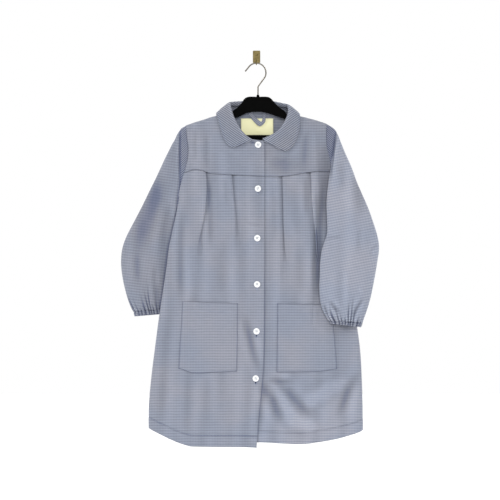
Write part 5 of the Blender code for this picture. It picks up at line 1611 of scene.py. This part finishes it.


# painted light and shade: the right sleeve drawn darker, the left one lighter
SLEEVE_PAINTED_LIGHTING = {"right": 0.91, "left": 1.13}
# painted shade over each cuff
CUFF_PAINTED_SHADE = {"right": 0.74, "left": 0.82}
CUFF_TUCK = 0.0015            # how far a cuff's top edge lies up inside the sleeve
BESIDE_WIDTH = 0.0038         # of the shade on the right sleeve along the body's side edge
BESIDE_SHADE = 0.40
BESIDE_START = (0.245, 0.300)          # depths below the origin between which it begins
BEHIND = Place(0.012, 0.015)  # how far the creases behind a sleeve lie from those in front
SLEEVE_UNEVEN = 0.7
SLEEVE_CALM = (0.004, 0.030)  # distances from the armhole seam between which creases begin
ARMHOLE_SHADE = 0.15
ARMHOLE_WIDTH = 0.0014
CUFF_STEP = 0.0020
CUFF_ROW_STEP = 0.0010
CUFF_BULGE = 0.0007           # of its middle past its edges, which draw in
CUFF_DRAW = 0.0004
CUFF_TUCK_IN = 0.0005
CUFF_TUCK_WIDTH = 0.0008
CUFF_TOP_SHADE = 0.35
CUFF_BOTTOM_SHADE = 0.2
CUFF_EDGE = 0.0009            # width of both shades
CUFF_STITCH = 0.0014


def build_cuff(side, grid, grain, seed, cloth, thread):
    cuff = Sheet(grid, CUFF_STEP, closed=True, row_size=CUFF_ROW_STEP)
    cuff.weave[..., :2] = cuff.turned_weave(grain)
    gathered(cuff, np.zeros(cuff.tone.shape), seed)
    down = edge_run(cuff, "top")
    up = down.max() - down
    cuff.push(CUFF_BULGE * np.sin(math.pi * (down / down.max())) - CUFF_DRAW)
    tuck = bell(down, CUFF_TUCK_WIDTH)
    cuff.points[..., 2] += CUFF_TUCK * tuck
    cuff.push(-CUFF_TUCK_IN * tuck)
    cuff.tone *= 1 - CUFF_TOP_SHADE * bell(down, CUFF_EDGE) - CUFF_BOTTOM_SHADE * bell(up, CUFF_EDGE)
    cuff.tone *= CUFF_PAINTED_SHADE[side]
    add_sewn(f"cuff_{side}", cuff, cloth, CUFF_FLAT)
    ring = [np.vstack([values, values[:1]]) for values in edge_line(cuff, "top", CUFF_STITCH)]
    add_stitches(f"cuff_{side}_stitches", [stitch_shapes(*ring)], thread)


def build_sleeves(cloth, thread):
    sleeves = {
        "right": (RIGHT_RINGS, RIGHT_CUFF, right_edge, 1, RIGHT_SLEEVE_CREASES, 4.0, 0.7),
        "left": (LEFT_RINGS, LEFT_CUFF, left_edge, -1, LEFT_SLEEVE_CREASES, -7.0, 2.3),
    }
    for side, (rings, cuff_rings, edge, inward, creases, grain, seed) in sleeves.items():
        sheet = Sheet(sleeve_grid(rings, edge, inward), SLEEVE_STEP, closed=True)
        sheet.weave[..., :2] = sheet.turned_weave(grain)
        facing = smooth(-sheet.normals()[..., 1], -0.3, 0.3)
        from_top = edge_run(sheet, "top")
        away = edge_run(sheet, "bottom")
        shown = crease_push(sheet.x, sheet.z, creases)
        hidden = crease_push(sheet.x + BEHIND.x, sheet.z + BEHIND.z, creases)
        slow = SLEEVE_UNEVEN * uneven(sheet.x, sheet.z, seed)
        amount = shown * facing + hidden * (1 - facing) + slow
        shaded_push(sheet, amount * smooth(from_top, *SLEEVE_CALM))
        gathered(sheet, away, seed)
        turn_head_strip(sheet, side, facing)
        if side == "right":
            body = np.array([edge(z) for z in sheet.z.ravel()]).reshape(sheet.z.shape)
            near = bell(sheet.x - body, BESIDE_WIDTH) * smooth(-sheet.z, *BESIDE_START)
            sheet.tone *= 1 - BESIDE_SHADE * near * facing
        sheet.tone *= 1 - ARMHOLE_SHADE * bell(from_top, ARMHOLE_WIDTH)
        sheet.tone *= SLEEVE_PAINTED_LIGHTING[side]
        add_sewn(f"sleeve_{side}", sheet, cloth, SLEEVE_FLAT)
        build_cuff(side, cuff_grid(cuff_rings, inward), grain, seed, cloth, thread)


COLLAR_GRAIN = -28.0          # degrees that each leaf's weave turns from level
COLLAR_SHELL = 0.0014
COLLAR_STITCH = 0.0045        # from the leaf's edge to its row of stitches
COLLAR_CHECK = 0.90           # the check shows this much stronger there
COLLAR_ROLL = 0.0120          # from the neck seam to the collar's roll, along the cloth
COLLAR_ROW_STEP = 0.0026
COLLAR_TURN = 0.10            # share of its length, each side of the middle, that turns the weave
# painted shade over the whole collar
COLLAR_PAINTED_SHADE = 0.84
COLLAR_STITCH_SHADE = 0.08
COLLAR_STITCH_WIDTH = 0.0012
# painted highlight along the collar's roll
COLLAR_ROLL_LIGHT = 0.16
COLLAR_ROLL_WIDTH = 0.0022
THICK_LIFT = 0.0002           # how much higher stitches lie on folded cloth


def build_collar(cloth, thread):
    sheet = Sheet(collar_grid(), COLLAR_STEP, row_size=COLLAR_ROW_STEP)
    share = np.linspace(0, 1, len(sheet.points))
    side = np.clip((share - 0.5) / COLLAR_TURN, -1, 1)
    sheet.weave[..., :2] = sheet.turned_weave((COLLAR_GRAIN * side)[:, None])
    sheet.weave[..., 2] = COLLAR_CHECK
    leaf = edge_run(sheet, "end")
    roll = edge_run(sheet, "start")
    sheet.tone *= COLLAR_PAINTED_SHADE - COLLAR_STITCH_SHADE * bell(leaf - COLLAR_STITCH, COLLAR_STITCH_WIDTH)
    sheet.tone *= 1 + COLLAR_ROLL_LIGHT * bell(roll - COLLAR_ROLL, COLLAR_ROLL_WIDTH)
    add_sewn("collar", sheet, cloth, COLLAR_FLAT, COLLAR_SHELL)
    add_stitches("collar_stitches", edge_stitches(sheet, ["end"], COLLAR_STITCH, THICK_LIFT), thread)


# Inside the neck
LABEL_TOP = -0.1358
LABEL_BOTTOM = -0.1800
LABEL_RIGHT = -0.0345
LABEL_LEFT = 0.0369
LABEL_LIFT = 0.0014
LABEL_ROWS = (0.0, 0.33, 0.67, 1.0)
LABEL_COLUMNS = 6
LABEL_STEP = 0.0020
LABEL_WAVE = 0.0004
LABEL_WAVE_TURN = 90.0        # radians in a metre
LABEL_SHELL = 0.0005
LABEL_STITCH = 0.0015
LABEL_CORNER = 0.001          # left free of stitches at each end of a row
LABEL_THREAD = 0.00018
LoopRow = namedtuple("LoopRow", "x0 z0 x1 z1 y")
NECK_LOOP = rows_of(
    LoopRow,
    (-0.018, -0.12, -0.008, -0.12, -0.0186),
    (-0.0165, -0.129, -0.0075, -0.1265, -0.0186),
    (-0.004, -0.145, 0.003, -0.138, -0.019),
    (0.007, -0.153, 0.0105, -0.143, -0.0192),
    (0.0185, -0.144, 0.0125, -0.14, -0.019),
    (0.02, -0.13, 0.014, -0.129, -0.0186),
    (0.0205, -0.12, 0.0145, -0.12, -0.0186),
)


LOOP_STEP = 0.0010
LOOP_GRAIN = 35.0
LOOP_BULGE = 0.0003
LOOP_SHELL = 0.0010
LOOP_STITCH = 0.0012


def build_label(cloth, thread):
    grid = []
    for share in LABEL_ROWS:
        z = mix(LABEL_TOP, LABEL_BOTTOM, share)
        shares = [column / (LABEL_COLUMNS - 1) for column in range(LABEL_COLUMNS)]
        row = [mix(LABEL_RIGHT, LABEL_LEFT, across) for across in shares]
        grid.append([Vector((x, back_y(x, z) - LABEL_LIFT, z)) for x in row])
    sheet = Sheet(grid, LABEL_STEP)
    sheet.weave[..., :2] = sheet.turned_weave(0.0)
    wave = LABEL_WAVE * np.sin(sheet.x * LABEL_WAVE_TURN)
    sheet.push(wave * smooth(edge_run(sheet, "top"), 0.0, 0.03))
    add_sewn("neck_label", sheet, cloth, LABEL_FLAT, LABEL_SHELL)
    runs = []
    for edge in ("top", "start", "end"):
        line = trimmed(*edge_line(sheet, edge, LABEL_STITCH), LABEL_CORNER)
        runs.append(stitch_shapes(*line, radius=LABEL_THREAD))
    add_stitches("neck_label_stitches", runs, thread)


def build_loop(cloth, thread):
    grid = [
        [Vector((mix(row.x0, row.x1, share), row.y, mix(row.z0, row.z1, share))) for share in (0.0, 0.5, 1.0)]
        for row in NECK_LOOP
    ]
    loop = Sheet(grid, LOOP_STEP)
    loop.weave[..., :2] = loop.turned_weave(LOOP_GRAIN)
    across = edge_run(loop, "start") / edge_run(loop, "start").max(axis=1, keepdims=True)
    loop.push(LOOP_BULGE * np.sin(math.pi * across))
    add_sewn("neck_loop", loop, cloth, LOOP_FLAT, LOOP_SHELL)
    add_stitches("neck_loop_stitches", edge_stitches(loop, ("start", "end"), LOOP_STITCH, THICK_LIFT), thread)


# The cut of each piece: width and length in metres before it was sewn and hung
PANEL_FLAT = {"right": (0.300, 0.610), "left": (0.300, 0.600)}
YOKE_FLAT = (0.200, 0.150)
POCKET_FLAT = (0.126, 0.156)
BACK_FLAT = (0.500, 0.750)
SLEEVE_FLAT = (0.340, 0.420)
CUFF_FLAT = (0.190, 0.014)
COLLAR_FLAT = (0.420, 0.110)
LABEL_FLAT = (0.072, 0.045)
LOOP_FLAT = (0.010, 0.085)


# Buttons, buttonholes and thread
BUTTON_RADIUS = 0.0070
BUTTON_HEIGHT = 0.0026
Button = namedtuple("Button", "x z gap upright")
BUTTONS = [
    Button(0.0033, -0.1950, 0.0008, False),
    Button(0.0029, -0.2915, 0.0005, True),
    Button(0.0015, -0.4004, 0.0004, True),
    Button(0.0011, -0.5018, 0.0003, True),
    Button(-0.0002, -0.6050, -0.0002, True),
    Button(-0.0020, -0.7086, 0.0002, True),
]
# Profiles of turned solids, in shares of the radius and the height
BUTTON_THREAD_LEVEL = 0.66
BUTTON_PROFILE = [
    (0.0, 0.66), (0.3, 0.66), (0.52, 0.68), (0.62, 0.76), (0.7, 0.93), (0.77, 1.0), (0.86, 0.99),
    (0.94, 0.9), (0.99, 0.72), (1.0, 0.58), (0.98, 0.36), (0.9, 0.12), (0.78, 0.02), (0.7, 0.0), (0.0, 0.0),
]
FERRULE_PROFILE = [
    (0.0, 0.0), (0.97, 0.0), (1.0, 0.1), (1.0, 0.66), (0.86, 0.74), (0.8, 0.88), (0.68, 0.97),
    (0.52, 1.0), (0.0, 1.0),
]
SCREW_PROFILE = [
    (0.0, 0.0), (0.96, 0.0), (1.0, 0.12), (1.0, 0.28), (0.88, 0.52), (0.68, 0.76), (0.42, 0.93),
    (0.2, 1.0), (0.0, 1.0),
]
HOLE_RADIUS = 0.0009
HOLE_SPREAD = 0.0013
BUTTON_STEPS = 48
BAR_RADIUS = 0.00026          # of the thread on a button
BAR_REACH = 0.0004            # of a bar of thread past its two holes
BAR_LENGTH = 0.0007           # that it is longer than the way between them
BAR_SPREAD = 0.0003           # between its strands
BAR_GAP = 0.00005
HOLE_STEPS = 20
MOST_TURN = 12.0              # degrees that a button is turned on its thread, at most
FACING_FRONT = np.array([[0.0, -1.0, 0.0], [0.0, -1.0, 0.0]])


def turned(profile, radius, height, steps):
    """Points and faces of a turned solid.  The profile starts and ends on the axis, in
    shares of the radius and of the height."""
    points = [(0.0, 0.0, height * profile[0][1])]
    for out, up in profile[1:-1]:
        for step in range(steps):
            angle = 2 * math.pi * step / steps
            points.append((radius * out * math.cos(angle), radius * out * math.sin(angle), height * up))
    points.append((0.0, 0.0, height * profile[-1][1]))
    last = len(profile) - 3
    faces = []
    for step in range(steps):
        after = (step + 1) % steps
        faces.append((0, 1 + step, 1 + after))
        for row in range(last):
            a = 1 + row * steps
            faces.append((a + step, a + steps + step, a + steps + after, a + after))
        a = 1 + last * steps
        faces.append((a + step, len(points) - 1, a + after))
    return points, faces


def cut_away(piece, cutter):
    cut = piece.modifiers.new("Cut", "BOOLEAN")
    cut.operation = "DIFFERENCE"
    cut.object = cutter
    bpy.context.view_layer.objects.active = piece
    bpy.ops.object.modifier_apply(modifier=cut.name)
    bpy.data.objects.remove(cutter, do_unlink=True)


def push_at(x, z):
    """How far the finished front stands out from the plain one at a place."""
    return float(front_push(np.array(x), np.array(z)))


def build_buttons(plastic, thread):
    holes = [(sx * HOLE_SPREAD, sy * HOLE_SPREAD) for sx in (-1, 1) for sy in (-1, 1)]
    for number, place in enumerate(BUTTONS, start=1):
        points, faces = turned(BUTTON_PROFILE, BUTTON_RADIUS, BUTTON_HEIGHT, BUTTON_STEPS)
        button = mesh_of(f"button_{number}_plastic", points, faces, plastic)
        for x, y in holes:
            bpy.ops.mesh.primitive_cylinder_add(
                vertices=HOLE_STEPS, radius=HOLE_RADIUS, depth=4 * BUTTON_HEIGHT, location=(x, y, 0)
            )
            cut_away(button, bpy.context.object)
        back = top_front_y(place.x, place.z) - WALL / 2 - place.gap - push_at(place.x, place.z)
        button.location = (place.x, back, place.z)
        turn = math.radians(MOST_TURN * math.sin(2.3 * number))
        button.rotation_euler = (math.pi / 2, turn, 0.0)
        bpy.context.view_layer.update()
        stand_in(button, f"button_{number}")
        sew_button(number, place, back, thread)


def sew_button(number, place, back, thread):
    """Two bars of thread through the four holes."""
    runs = []
    top = back - BUTTON_HEIGHT * BUTTON_THREAD_LEVEL
    reach = HOLE_SPREAD + BAR_REACH
    for side in (-1, 1):
        for strand in (-BAR_SPREAD, 0.0, BAR_SPREAD):
            x = place.x + side * HOLE_SPREAD + strand
            ends = np.array([[x, top, place.z - reach], [x, top, place.z + reach]])
            length = 2 * HOLE_SPREAD + BAR_LENGTH
            runs.append(stitch_shapes(ends, FACING_FRONT, length, BAR_GAP, BAR_RADIUS, lift=-SHELL / 2))
    add_stitches(f"button_{number}_thread", runs, thread)


BINDING_RADIUS = 0.00034      # of the thread round a buttonhole
HOLE_LENGTH = 0.0165
HOLE_WIDTH = 0.0046
SLIT_WIDTH = 0.0022
HOLE_STITCHES = 26
HOLE_START = 0.0045           # from the button's middle back to the buttonhole's first end
STITCH_SHARE = 0.98           # of the way across that one binding stitch fills
BINDING_GAP = 0.00001
END_SPREAD = 0.0003           # each side of the end, for its two cross stitches
SLIT_DEPTH = 0.0001
SLIT_ROWS = 6


def add_buttonhole(number, place, thread, painted_shade):
    """A slit bound all round with close stitches, which the button half covers."""
    along = np.array([0.0, 0.0, -1.0]) if place.upright else np.array([-1.0, 0.0, 0.0])
    side = np.array([1.0, 0.0, 0.0]) if place.upright else np.array([0.0, 0.0, 1.0])
    start = np.array([place.x, 0.0, place.z]) - along * HOLE_START
    runs = []

    def on_cloth(point):
        x, _, z = point
        return np.array([x, top_front_y(x, z) - push_at(x, z), z])

    def bound(near, far, length):
        return stitch_shapes(np.array([near, far]), FACING_FRONT, length, BINDING_GAP, BINDING_RADIUS)

    for step in range(HOLE_STITCHES):
        middle = start + along * HOLE_LENGTH * (step + 0.5) / HOLE_STITCHES
        for sign in (-1, 1):
            near = on_cloth(middle + side * sign * SLIT_WIDTH / 2)
            far = on_cloth(middle + side * sign * HOLE_WIDTH / 2)
            length = float(np.linalg.norm(far - near)) * STITCH_SHARE
            runs.append(bound(near, far, length))
    for share in (0.0, 1.0):
        for offset in (-END_SPREAD, END_SPREAD):
            middle = start + along * (HOLE_LENGTH * share + offset)
            ends = [on_cloth(middle + side * sign * HOLE_WIDTH / 2) for sign in (-1, 1)]
            runs.append(bound(*ends, HOLE_WIDTH * STITCH_SHARE))
    add_stitches(f"buttonhole_{number}_thread", runs, thread)
    # the dark sheet in the slit is a painted shadow
    corners = []
    for row in range(SLIT_ROWS + 1):
        middle = start + along * HOLE_LENGTH * row / SLIT_ROWS
        for sign in (-1, 1):
            point = on_cloth(middle + side * sign * SLIT_WIDTH / 2)
            corners.append(tuple(point - np.array([0.0, SHELL / 2 + SLIT_DEPTH, 0.0])))
    faces = [(2 * row, 2 * row + 1, 2 * row + 3, 2 * row + 2) for row in range(SLIT_ROWS)]
    slit = mesh_of(f"buttonhole_{number}_slit", corners, faces, painted_shade)
    thick = slit.modifiers.new("Wall", "SOLIDIFY")
    thick.thickness = SLIT_DEPTH
    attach(slit, "root")


# Hanger and wall hook
HANGER_OUTLINE = places(
    (-0.0195, -0.0888), (0.003, -0.0884), (0.025, -0.0888), (0.0315, -0.092), (0.038, -0.099),
    (0.0508, -0.1121), (0.059, -0.118), (0.064, -0.123), (0.069, -0.1305), (0.078, -0.132),
    (0.1219, -0.1395), (0.1483, -0.1477), (0.155, -0.152), (0.1595, -0.159), (0.16, -0.17),
    (0.157, -0.1775), (0.15, -0.1808), (0.13, -0.1808), (0.0, -0.1808), (-0.13, -0.1808),
    (-0.145, -0.1808), (-0.1515, -0.1775), (-0.1545, -0.17), (-0.154, -0.16), (-0.15, -0.1535),
    (-0.1289, -0.1448), (-0.1025, -0.136), (-0.074, -0.1305), (-0.0645, -0.1305), (-0.059, -0.126),
    (-0.053, -0.1205), (-0.0425, -0.112), (-0.0325, -0.101), (-0.027, -0.093),
)
HANGER_OPENING = places(
    (0.0046, -0.1217), (0.0257, -0.125), (0.0425, -0.1309), (0.0609, -0.1365), (0.12, -0.1545),
    (0.14, -0.1615), (0.145, -0.168), (0.14, -0.1727), (0.12, -0.1727), (0.0, -0.1727),
    (-0.115, -0.1727), (-0.135, -0.1727), (-0.14, -0.168), (-0.135, -0.1615), (-0.118, -0.156),
    (-0.0493, -0.1366), (-0.0332, -0.13), (-0.0207, -0.1241),
)
HANGER_HALF_DEPTH = 0.0035
HANGER_EDGE = 0.0015
OUTLINE_STEP = 0.0016
SEATED = 0.0003               # gap of parts that rest on each other
FERRULE_RADIUS = 0.0032
FERRULE_HEIGHT = 0.0068
FERRULE_BOTTOM = -0.0905
FERRULE_STEPS = 32
SHANK_X = 0.0031
SHANK_TOP = -0.0662
WIRE_RADIUS = 0.0015
HOOK_CENTRE = Place(-0.0004, -0.0354)
HOOK_RADIUS = 0.0211
HOOK_ANGLES = (-28.0, 148.0)
HOOK_STEPS = 48
HOOK_TIP = Place(-0.0252, -0.0325)
PLATE_WIDTH = 0.0164
PLATE_DEPTH = 0.0016
PLATE_BOTTOM = -0.0123
PLATE_TOP = 0.0150
PLATE_CORNER = 0.0018
CORNER_STEPS = 8
PLATE_EDGE = 0.0005
SCREW_RADIUS = 0.0023
SCREW_HEIGHT = 0.0011
SCREW_STEPS = 40
SLOT_TURN = 35.0
SLOT_LENGTH = 2.4             # in screw radii, past both sides of its head
SLOT_WIDTH = 0.22
SCREW_Z = 0.0064
PRONG_RADIUS = 0.0012
PRONG_ANGLES = (-20.0, -170.0)
PRONG_STEPS = 20
Reach = namedtuple("Reach", "y z")
PRONG_ROOT_Z = -0.0096
PRONG_REACH = [Reach(-0.0100, -0.0104), Reach(-0.0180, -0.0128)]
PRONG_TIP = [Reach(-0.0292, -0.0105), Reach(-0.0297, -0.0058)]


def add_spline(curve, places):
    spline = curve.splines.new("POLY")
    spline.points.add(len(places) - 1)
    for point, place in zip(spline.points, places):
        point.co = (*place, 1.0)
    return spline


def meshed(name, curve, material):
    """The mesh of a curve, as its own object."""
    drawn = bpy.data.objects.new(name + "_drawn", curve)
    bpy.context.scene.collection.objects.link(drawn)
    bpy.context.view_layer.update()
    mesh = bpy.data.meshes.new_from_object(drawn.evaluated_get(bpy.context.evaluated_depsgraph_get()))
    bpy.data.objects.remove(drawn, do_unlink=True)
    bpy.data.curves.remove(curve)
    mesh.name = name
    return placed(name, mesh, material)


def smooth_outline(rows, size):
    """A closed outline carried smoothly round its places."""
    points = np.array([[row.x, row.z] for row in rows])
    return smooth_closed(points[:, None, :], size)[0][:, 0]


def add_outline(name, outlines, half_depth, edge, material, y):
    """A moulded plate with rounded edges, cut to flat outlines in the x-z plane."""
    curve = bpy.data.curves.new(name, "CURVE")
    curve.dimensions = "2D"
    curve.fill_mode = "BOTH"
    for outline in outlines:
        add_spline(curve, [(x, z, 0.0) for x, z in outline]).use_cyclic_u = True
    curve.extrude = half_depth - edge
    curve.bevel_depth = edge
    curve.bevel_resolution = 4
    curve.offset = -edge
    made = meshed(name, curve, material)
    for vertex in made.data.vertices:
        x, z, depth = vertex.co
        vertex.co = (x, y - depth, z)
    made.data.update()
    return made


def add_wire(name, points, radius, material):
    curve = bpy.data.curves.new(name, "CURVE")
    curve.dimensions = "3D"
    curve.bevel_depth = radius
    curve.bevel_resolution = 8
    curve.use_fill_caps = True
    add_spline(curve, points)
    return meshed(name, curve, material)


def arc(centre, radius, angles, steps):
    for step in range(steps + 1):
        angle = math.radians(mix(*angles, step / steps))
        yield centre[0] + radius * math.cos(angle), centre[1] + radius * math.sin(angle)


def build_hanger(plastic, steel):
    outlines = [smooth_outline(rows, OUTLINE_STEP) for rows in (HANGER_OUTLINE, HANGER_OPENING)]
    outlines[1] = outlines[1][::-1]
    body = add_outline("hanger_body_moulded", outlines, HANGER_HALF_DEPTH, HANGER_EDGE, plastic, RIDGE_Y)
    stand_in(body, "hanger_body")
    points, faces = turned(FERRULE_PROFILE, FERRULE_RADIUS, FERRULE_HEIGHT, FERRULE_STEPS)
    ferrule = mesh_of("hanger_ferrule_moulded", points, faces, plastic)
    ferrule.data.transform(Matrix.Translation((SHANK_X, RIDGE_Y, FERRULE_BOTTOM)))
    stand_in(ferrule, "hanger_ferrule")
    foot = FERRULE_BOTTOM + FERRULE_HEIGHT + SEATED
    points = [(SHANK_X, RIDGE_Y, foot), (SHANK_X, RIDGE_Y, SHANK_TOP)]
    points += [(x, RIDGE_Y, z) for x, z in arc(HOOK_CENTRE, HOOK_RADIUS, HOOK_ANGLES, HOOK_STEPS)]
    points.append((HOOK_TIP.x, RIDGE_Y, HOOK_TIP.z))
    stand_in(add_wire("hanger_hook_wire", points, WIRE_RADIUS, steel), "hanger_hook")


def build_wall_hook(brass):
    corners = []
    for number, (sx, sz) in enumerate(((1, 1), (-1, 1), (-1, -1), (1, -1))):
        end = PLATE_TOP if sz > 0 else PLATE_BOTTOM
        centre = (sx * (PLATE_WIDTH / 2 - PLATE_CORNER), end - sz * PLATE_CORNER)
        corners += list(arc(centre, PLATE_CORNER, (90.0 * number, 90.0 * number + 90.0), CORNER_STEPS))
    half = PLATE_DEPTH / 2
    plate = add_outline("wall_plate_stamped", [corners], half, PLATE_EDGE, brass, -half)
    stand_in(plate, "wall_plate")

    points, faces = turned(SCREW_PROFILE, SCREW_RADIUS, SCREW_HEIGHT, SCREW_STEPS)
    screw = mesh_of("wall_screw_head", points, faces, brass)
    bpy.ops.mesh.primitive_cube_add(size=1.0, location=(0.0, 0.0, SCREW_HEIGHT))
    blade = bpy.context.object
    slot = (SLOT_LENGTH * SCREW_RADIUS, SLOT_WIDTH * SCREW_RADIUS, SCREW_HEIGHT, 1.0)
    blade.data.transform(Matrix.Diagonal(slot))
    cut_away(screw, blade)
    place = Matrix.Translation((0.0, -PLATE_DEPTH - SEATED, SCREW_Z)) @ Matrix.Rotation(math.pi / 2, 4, "X")
    screw.data.transform(place @ Matrix.Rotation(math.radians(SLOT_TURN), 4, "Z"))
    stand_in(screw, "wall_screw")

    crook = WIRE_RADIUS + SEATED + PRONG_RADIUS
    centre = (RIDGE_Y, HOOK_CENTRE.z + HOOK_RADIUS)
    run = [(-PLATE_DEPTH - SEATED, PRONG_ROOT_Z), *PRONG_REACH]
    run += [*arc(centre, crook, PRONG_ANGLES, PRONG_STEPS), *PRONG_TIP]
    points = [(HOOK_CENTRE.x, y, z) for y, z in run]
    stand_in(add_wire("wall_prong_wire", points, PRONG_RADIUS, brass), "wall_prong")


# Stage, light and camera
PHOTO_SCALE = 0.0022          # metres for each pixel of the photograph at the garment
PHOTO_MIDDLE = Place(-0.0145, -0.4264)
PHOTO_SIZE = 500
CAMERA_DISTANCE = 7.00
GARMENT_Y = -0.045
SENSOR = 36.0


def build_stage(pale):
    bpy.ops.mesh.primitive_plane_add(size=12.0, location=(0.0, 0.0, -1.02))
    floor = bpy.context.object
    floor.name = "floor"
    floor.data.materials.append(pale)


BACKGROUND = 1.0              # what the camera sees behind the smock
WORLD_LOW = 0.06              # light from the sides
WORLD_HIGH = 1.00             # light from overhead
Sun = namedtuple("Sun", "name x y z strength angle")
SUNS = [
    Sun("key", -0.88, -0.34, 0.45, 1.25, 10.0),
    Sun("fill", 0.90, -0.36, 0.35, 0.75, 16.0),
    Sun("front", 0.10, -1.00, 0.30, 1.30, 20.0),
    Sun("rear", 0.70, 0.60, 0.40, 1.60, 24.0),
    Sun("rear_fill", -0.80, 0.45, 0.30, 1.10, 30.0),
]


def build_light():
    """A white room that is brighter overhead, and soft suns for direction."""
    bpy.context.scene.view_settings.view_transform = "Standard"
    world = bpy.data.worlds.new("studio")
    world.use_nodes = True
    tree = world.node_tree
    background = tree.nodes["Background"]
    background.inputs["Color"].default_value = (1.0, 1.0, 1.0, 1.0)
    direction = add_node(tree, "ShaderNodeSeparateXYZ")
    link(tree, add_node(tree, "ShaderNodeTexCoord").outputs["Generated"], direction.inputs[0])
    lighting = add_range(tree, direction.outputs["Z"], 0.15, 0.90, WORLD_LOW, WORLD_HIGH)
    straight = add_node(tree, "ShaderNodeLightPath").outputs["Is Camera Ray"]
    strength = add_node(tree, "ShaderNodeMix", data_type="FLOAT")
    link(tree, straight, strength.inputs["Factor"])
    link(tree, lighting, strength.inputs["A"])
    strength.inputs["B"].default_value = BACKGROUND
    link(tree, strength.outputs["Result"], background.inputs["Strength"])
    bpy.context.scene.world = world
    for sun in SUNS:
        light = bpy.data.lights.new(sun.name, "SUN")
        light.energy = sun.strength
        light.angle = math.radians(sun.angle)
        lamp = bpy.data.objects.new(sun.name, light)
        lamp.rotation_euler = (-Vector((sun.x, sun.y, sun.z))).to_track_quat("-Z", "Y").to_euler()
        bpy.context.scene.collection.objects.link(lamp)


def build_camera():
    camera = bpy.data.cameras.new("camera")
    camera.sensor_width = SENSOR
    camera.lens = SENSOR * CAMERA_DISTANCE / (PHOTO_SCALE * PHOTO_SIZE)
    camera.dof.use_dof = False
    seen = bpy.data.objects.new("camera", camera)
    seen.location = (PHOTO_MIDDLE.x, GARMENT_Y - CAMERA_DISTANCE, PHOTO_MIDDLE.z)
    seen.rotation_euler = (math.pi / 2, 0.0, 0.0)
    bpy.context.scene.collection.objects.link(seen)
    bpy.context.scene.camera = seen


def main():
    build_camera()
    build_light()
    cloth = smock_cloth()
    thread = plain_finish("smock_thread", (0.25, 0.29, 0.41), 0.8)
    label_cloth = plain_finish("label_cream_cloth", (0.99, 0.96, 0.60), 0.85, depth=0.0001, spread=0.02)
    label_thread = plain_finish("label_thread", (0.93, 0.91, 0.80), 0.7)
    # painted shadow for the buttonhole slits
    painted_shade = plain_finish("buttonhole_painted_shadow", (0.03, 0.035, 0.06), 0.9)
    white = plain_finish("button_plastic", (0.78, 0.79, 0.80), 0.25, spread=0.02)
    white_thread = plain_finish("button_thread", (0.50, 0.52, 0.57), 0.7)
    black = plain_finish("hanger_plastic", (0.0010, 0.0010, 0.0010), 0.45, specular=0.02)
    steel = plain_finish("hook_steel_wire", (0.17, 0.155, 0.13), 0.40, 1.0)
    brass = plain_finish("wall_brass_plate", (0.165, 0.130, 0.055), 0.50, 1.0)
    pale = plain_finish("floor_pale", (0.93, 0.93, 0.93), 0.9)

    build_stage(pale)
    panels = build_fronts(cloth, thread)
    build_yokes(cloth, thread)
    build_pockets(panels, cloth, thread)
    build_back(cloth, thread)
    build_sleeves(cloth, thread)
    build_collar(cloth, thread)
    build_label(label_cloth, label_thread)
    build_loop(cloth, thread)
    build_buttons(white, white_thread)
    for number, place in enumerate(BUTTONS, start=1):
        add_buttonhole(number, place, thread, painted_shade)
    build_hanger(black, steel)
    build_wall_hook(brass)


main()
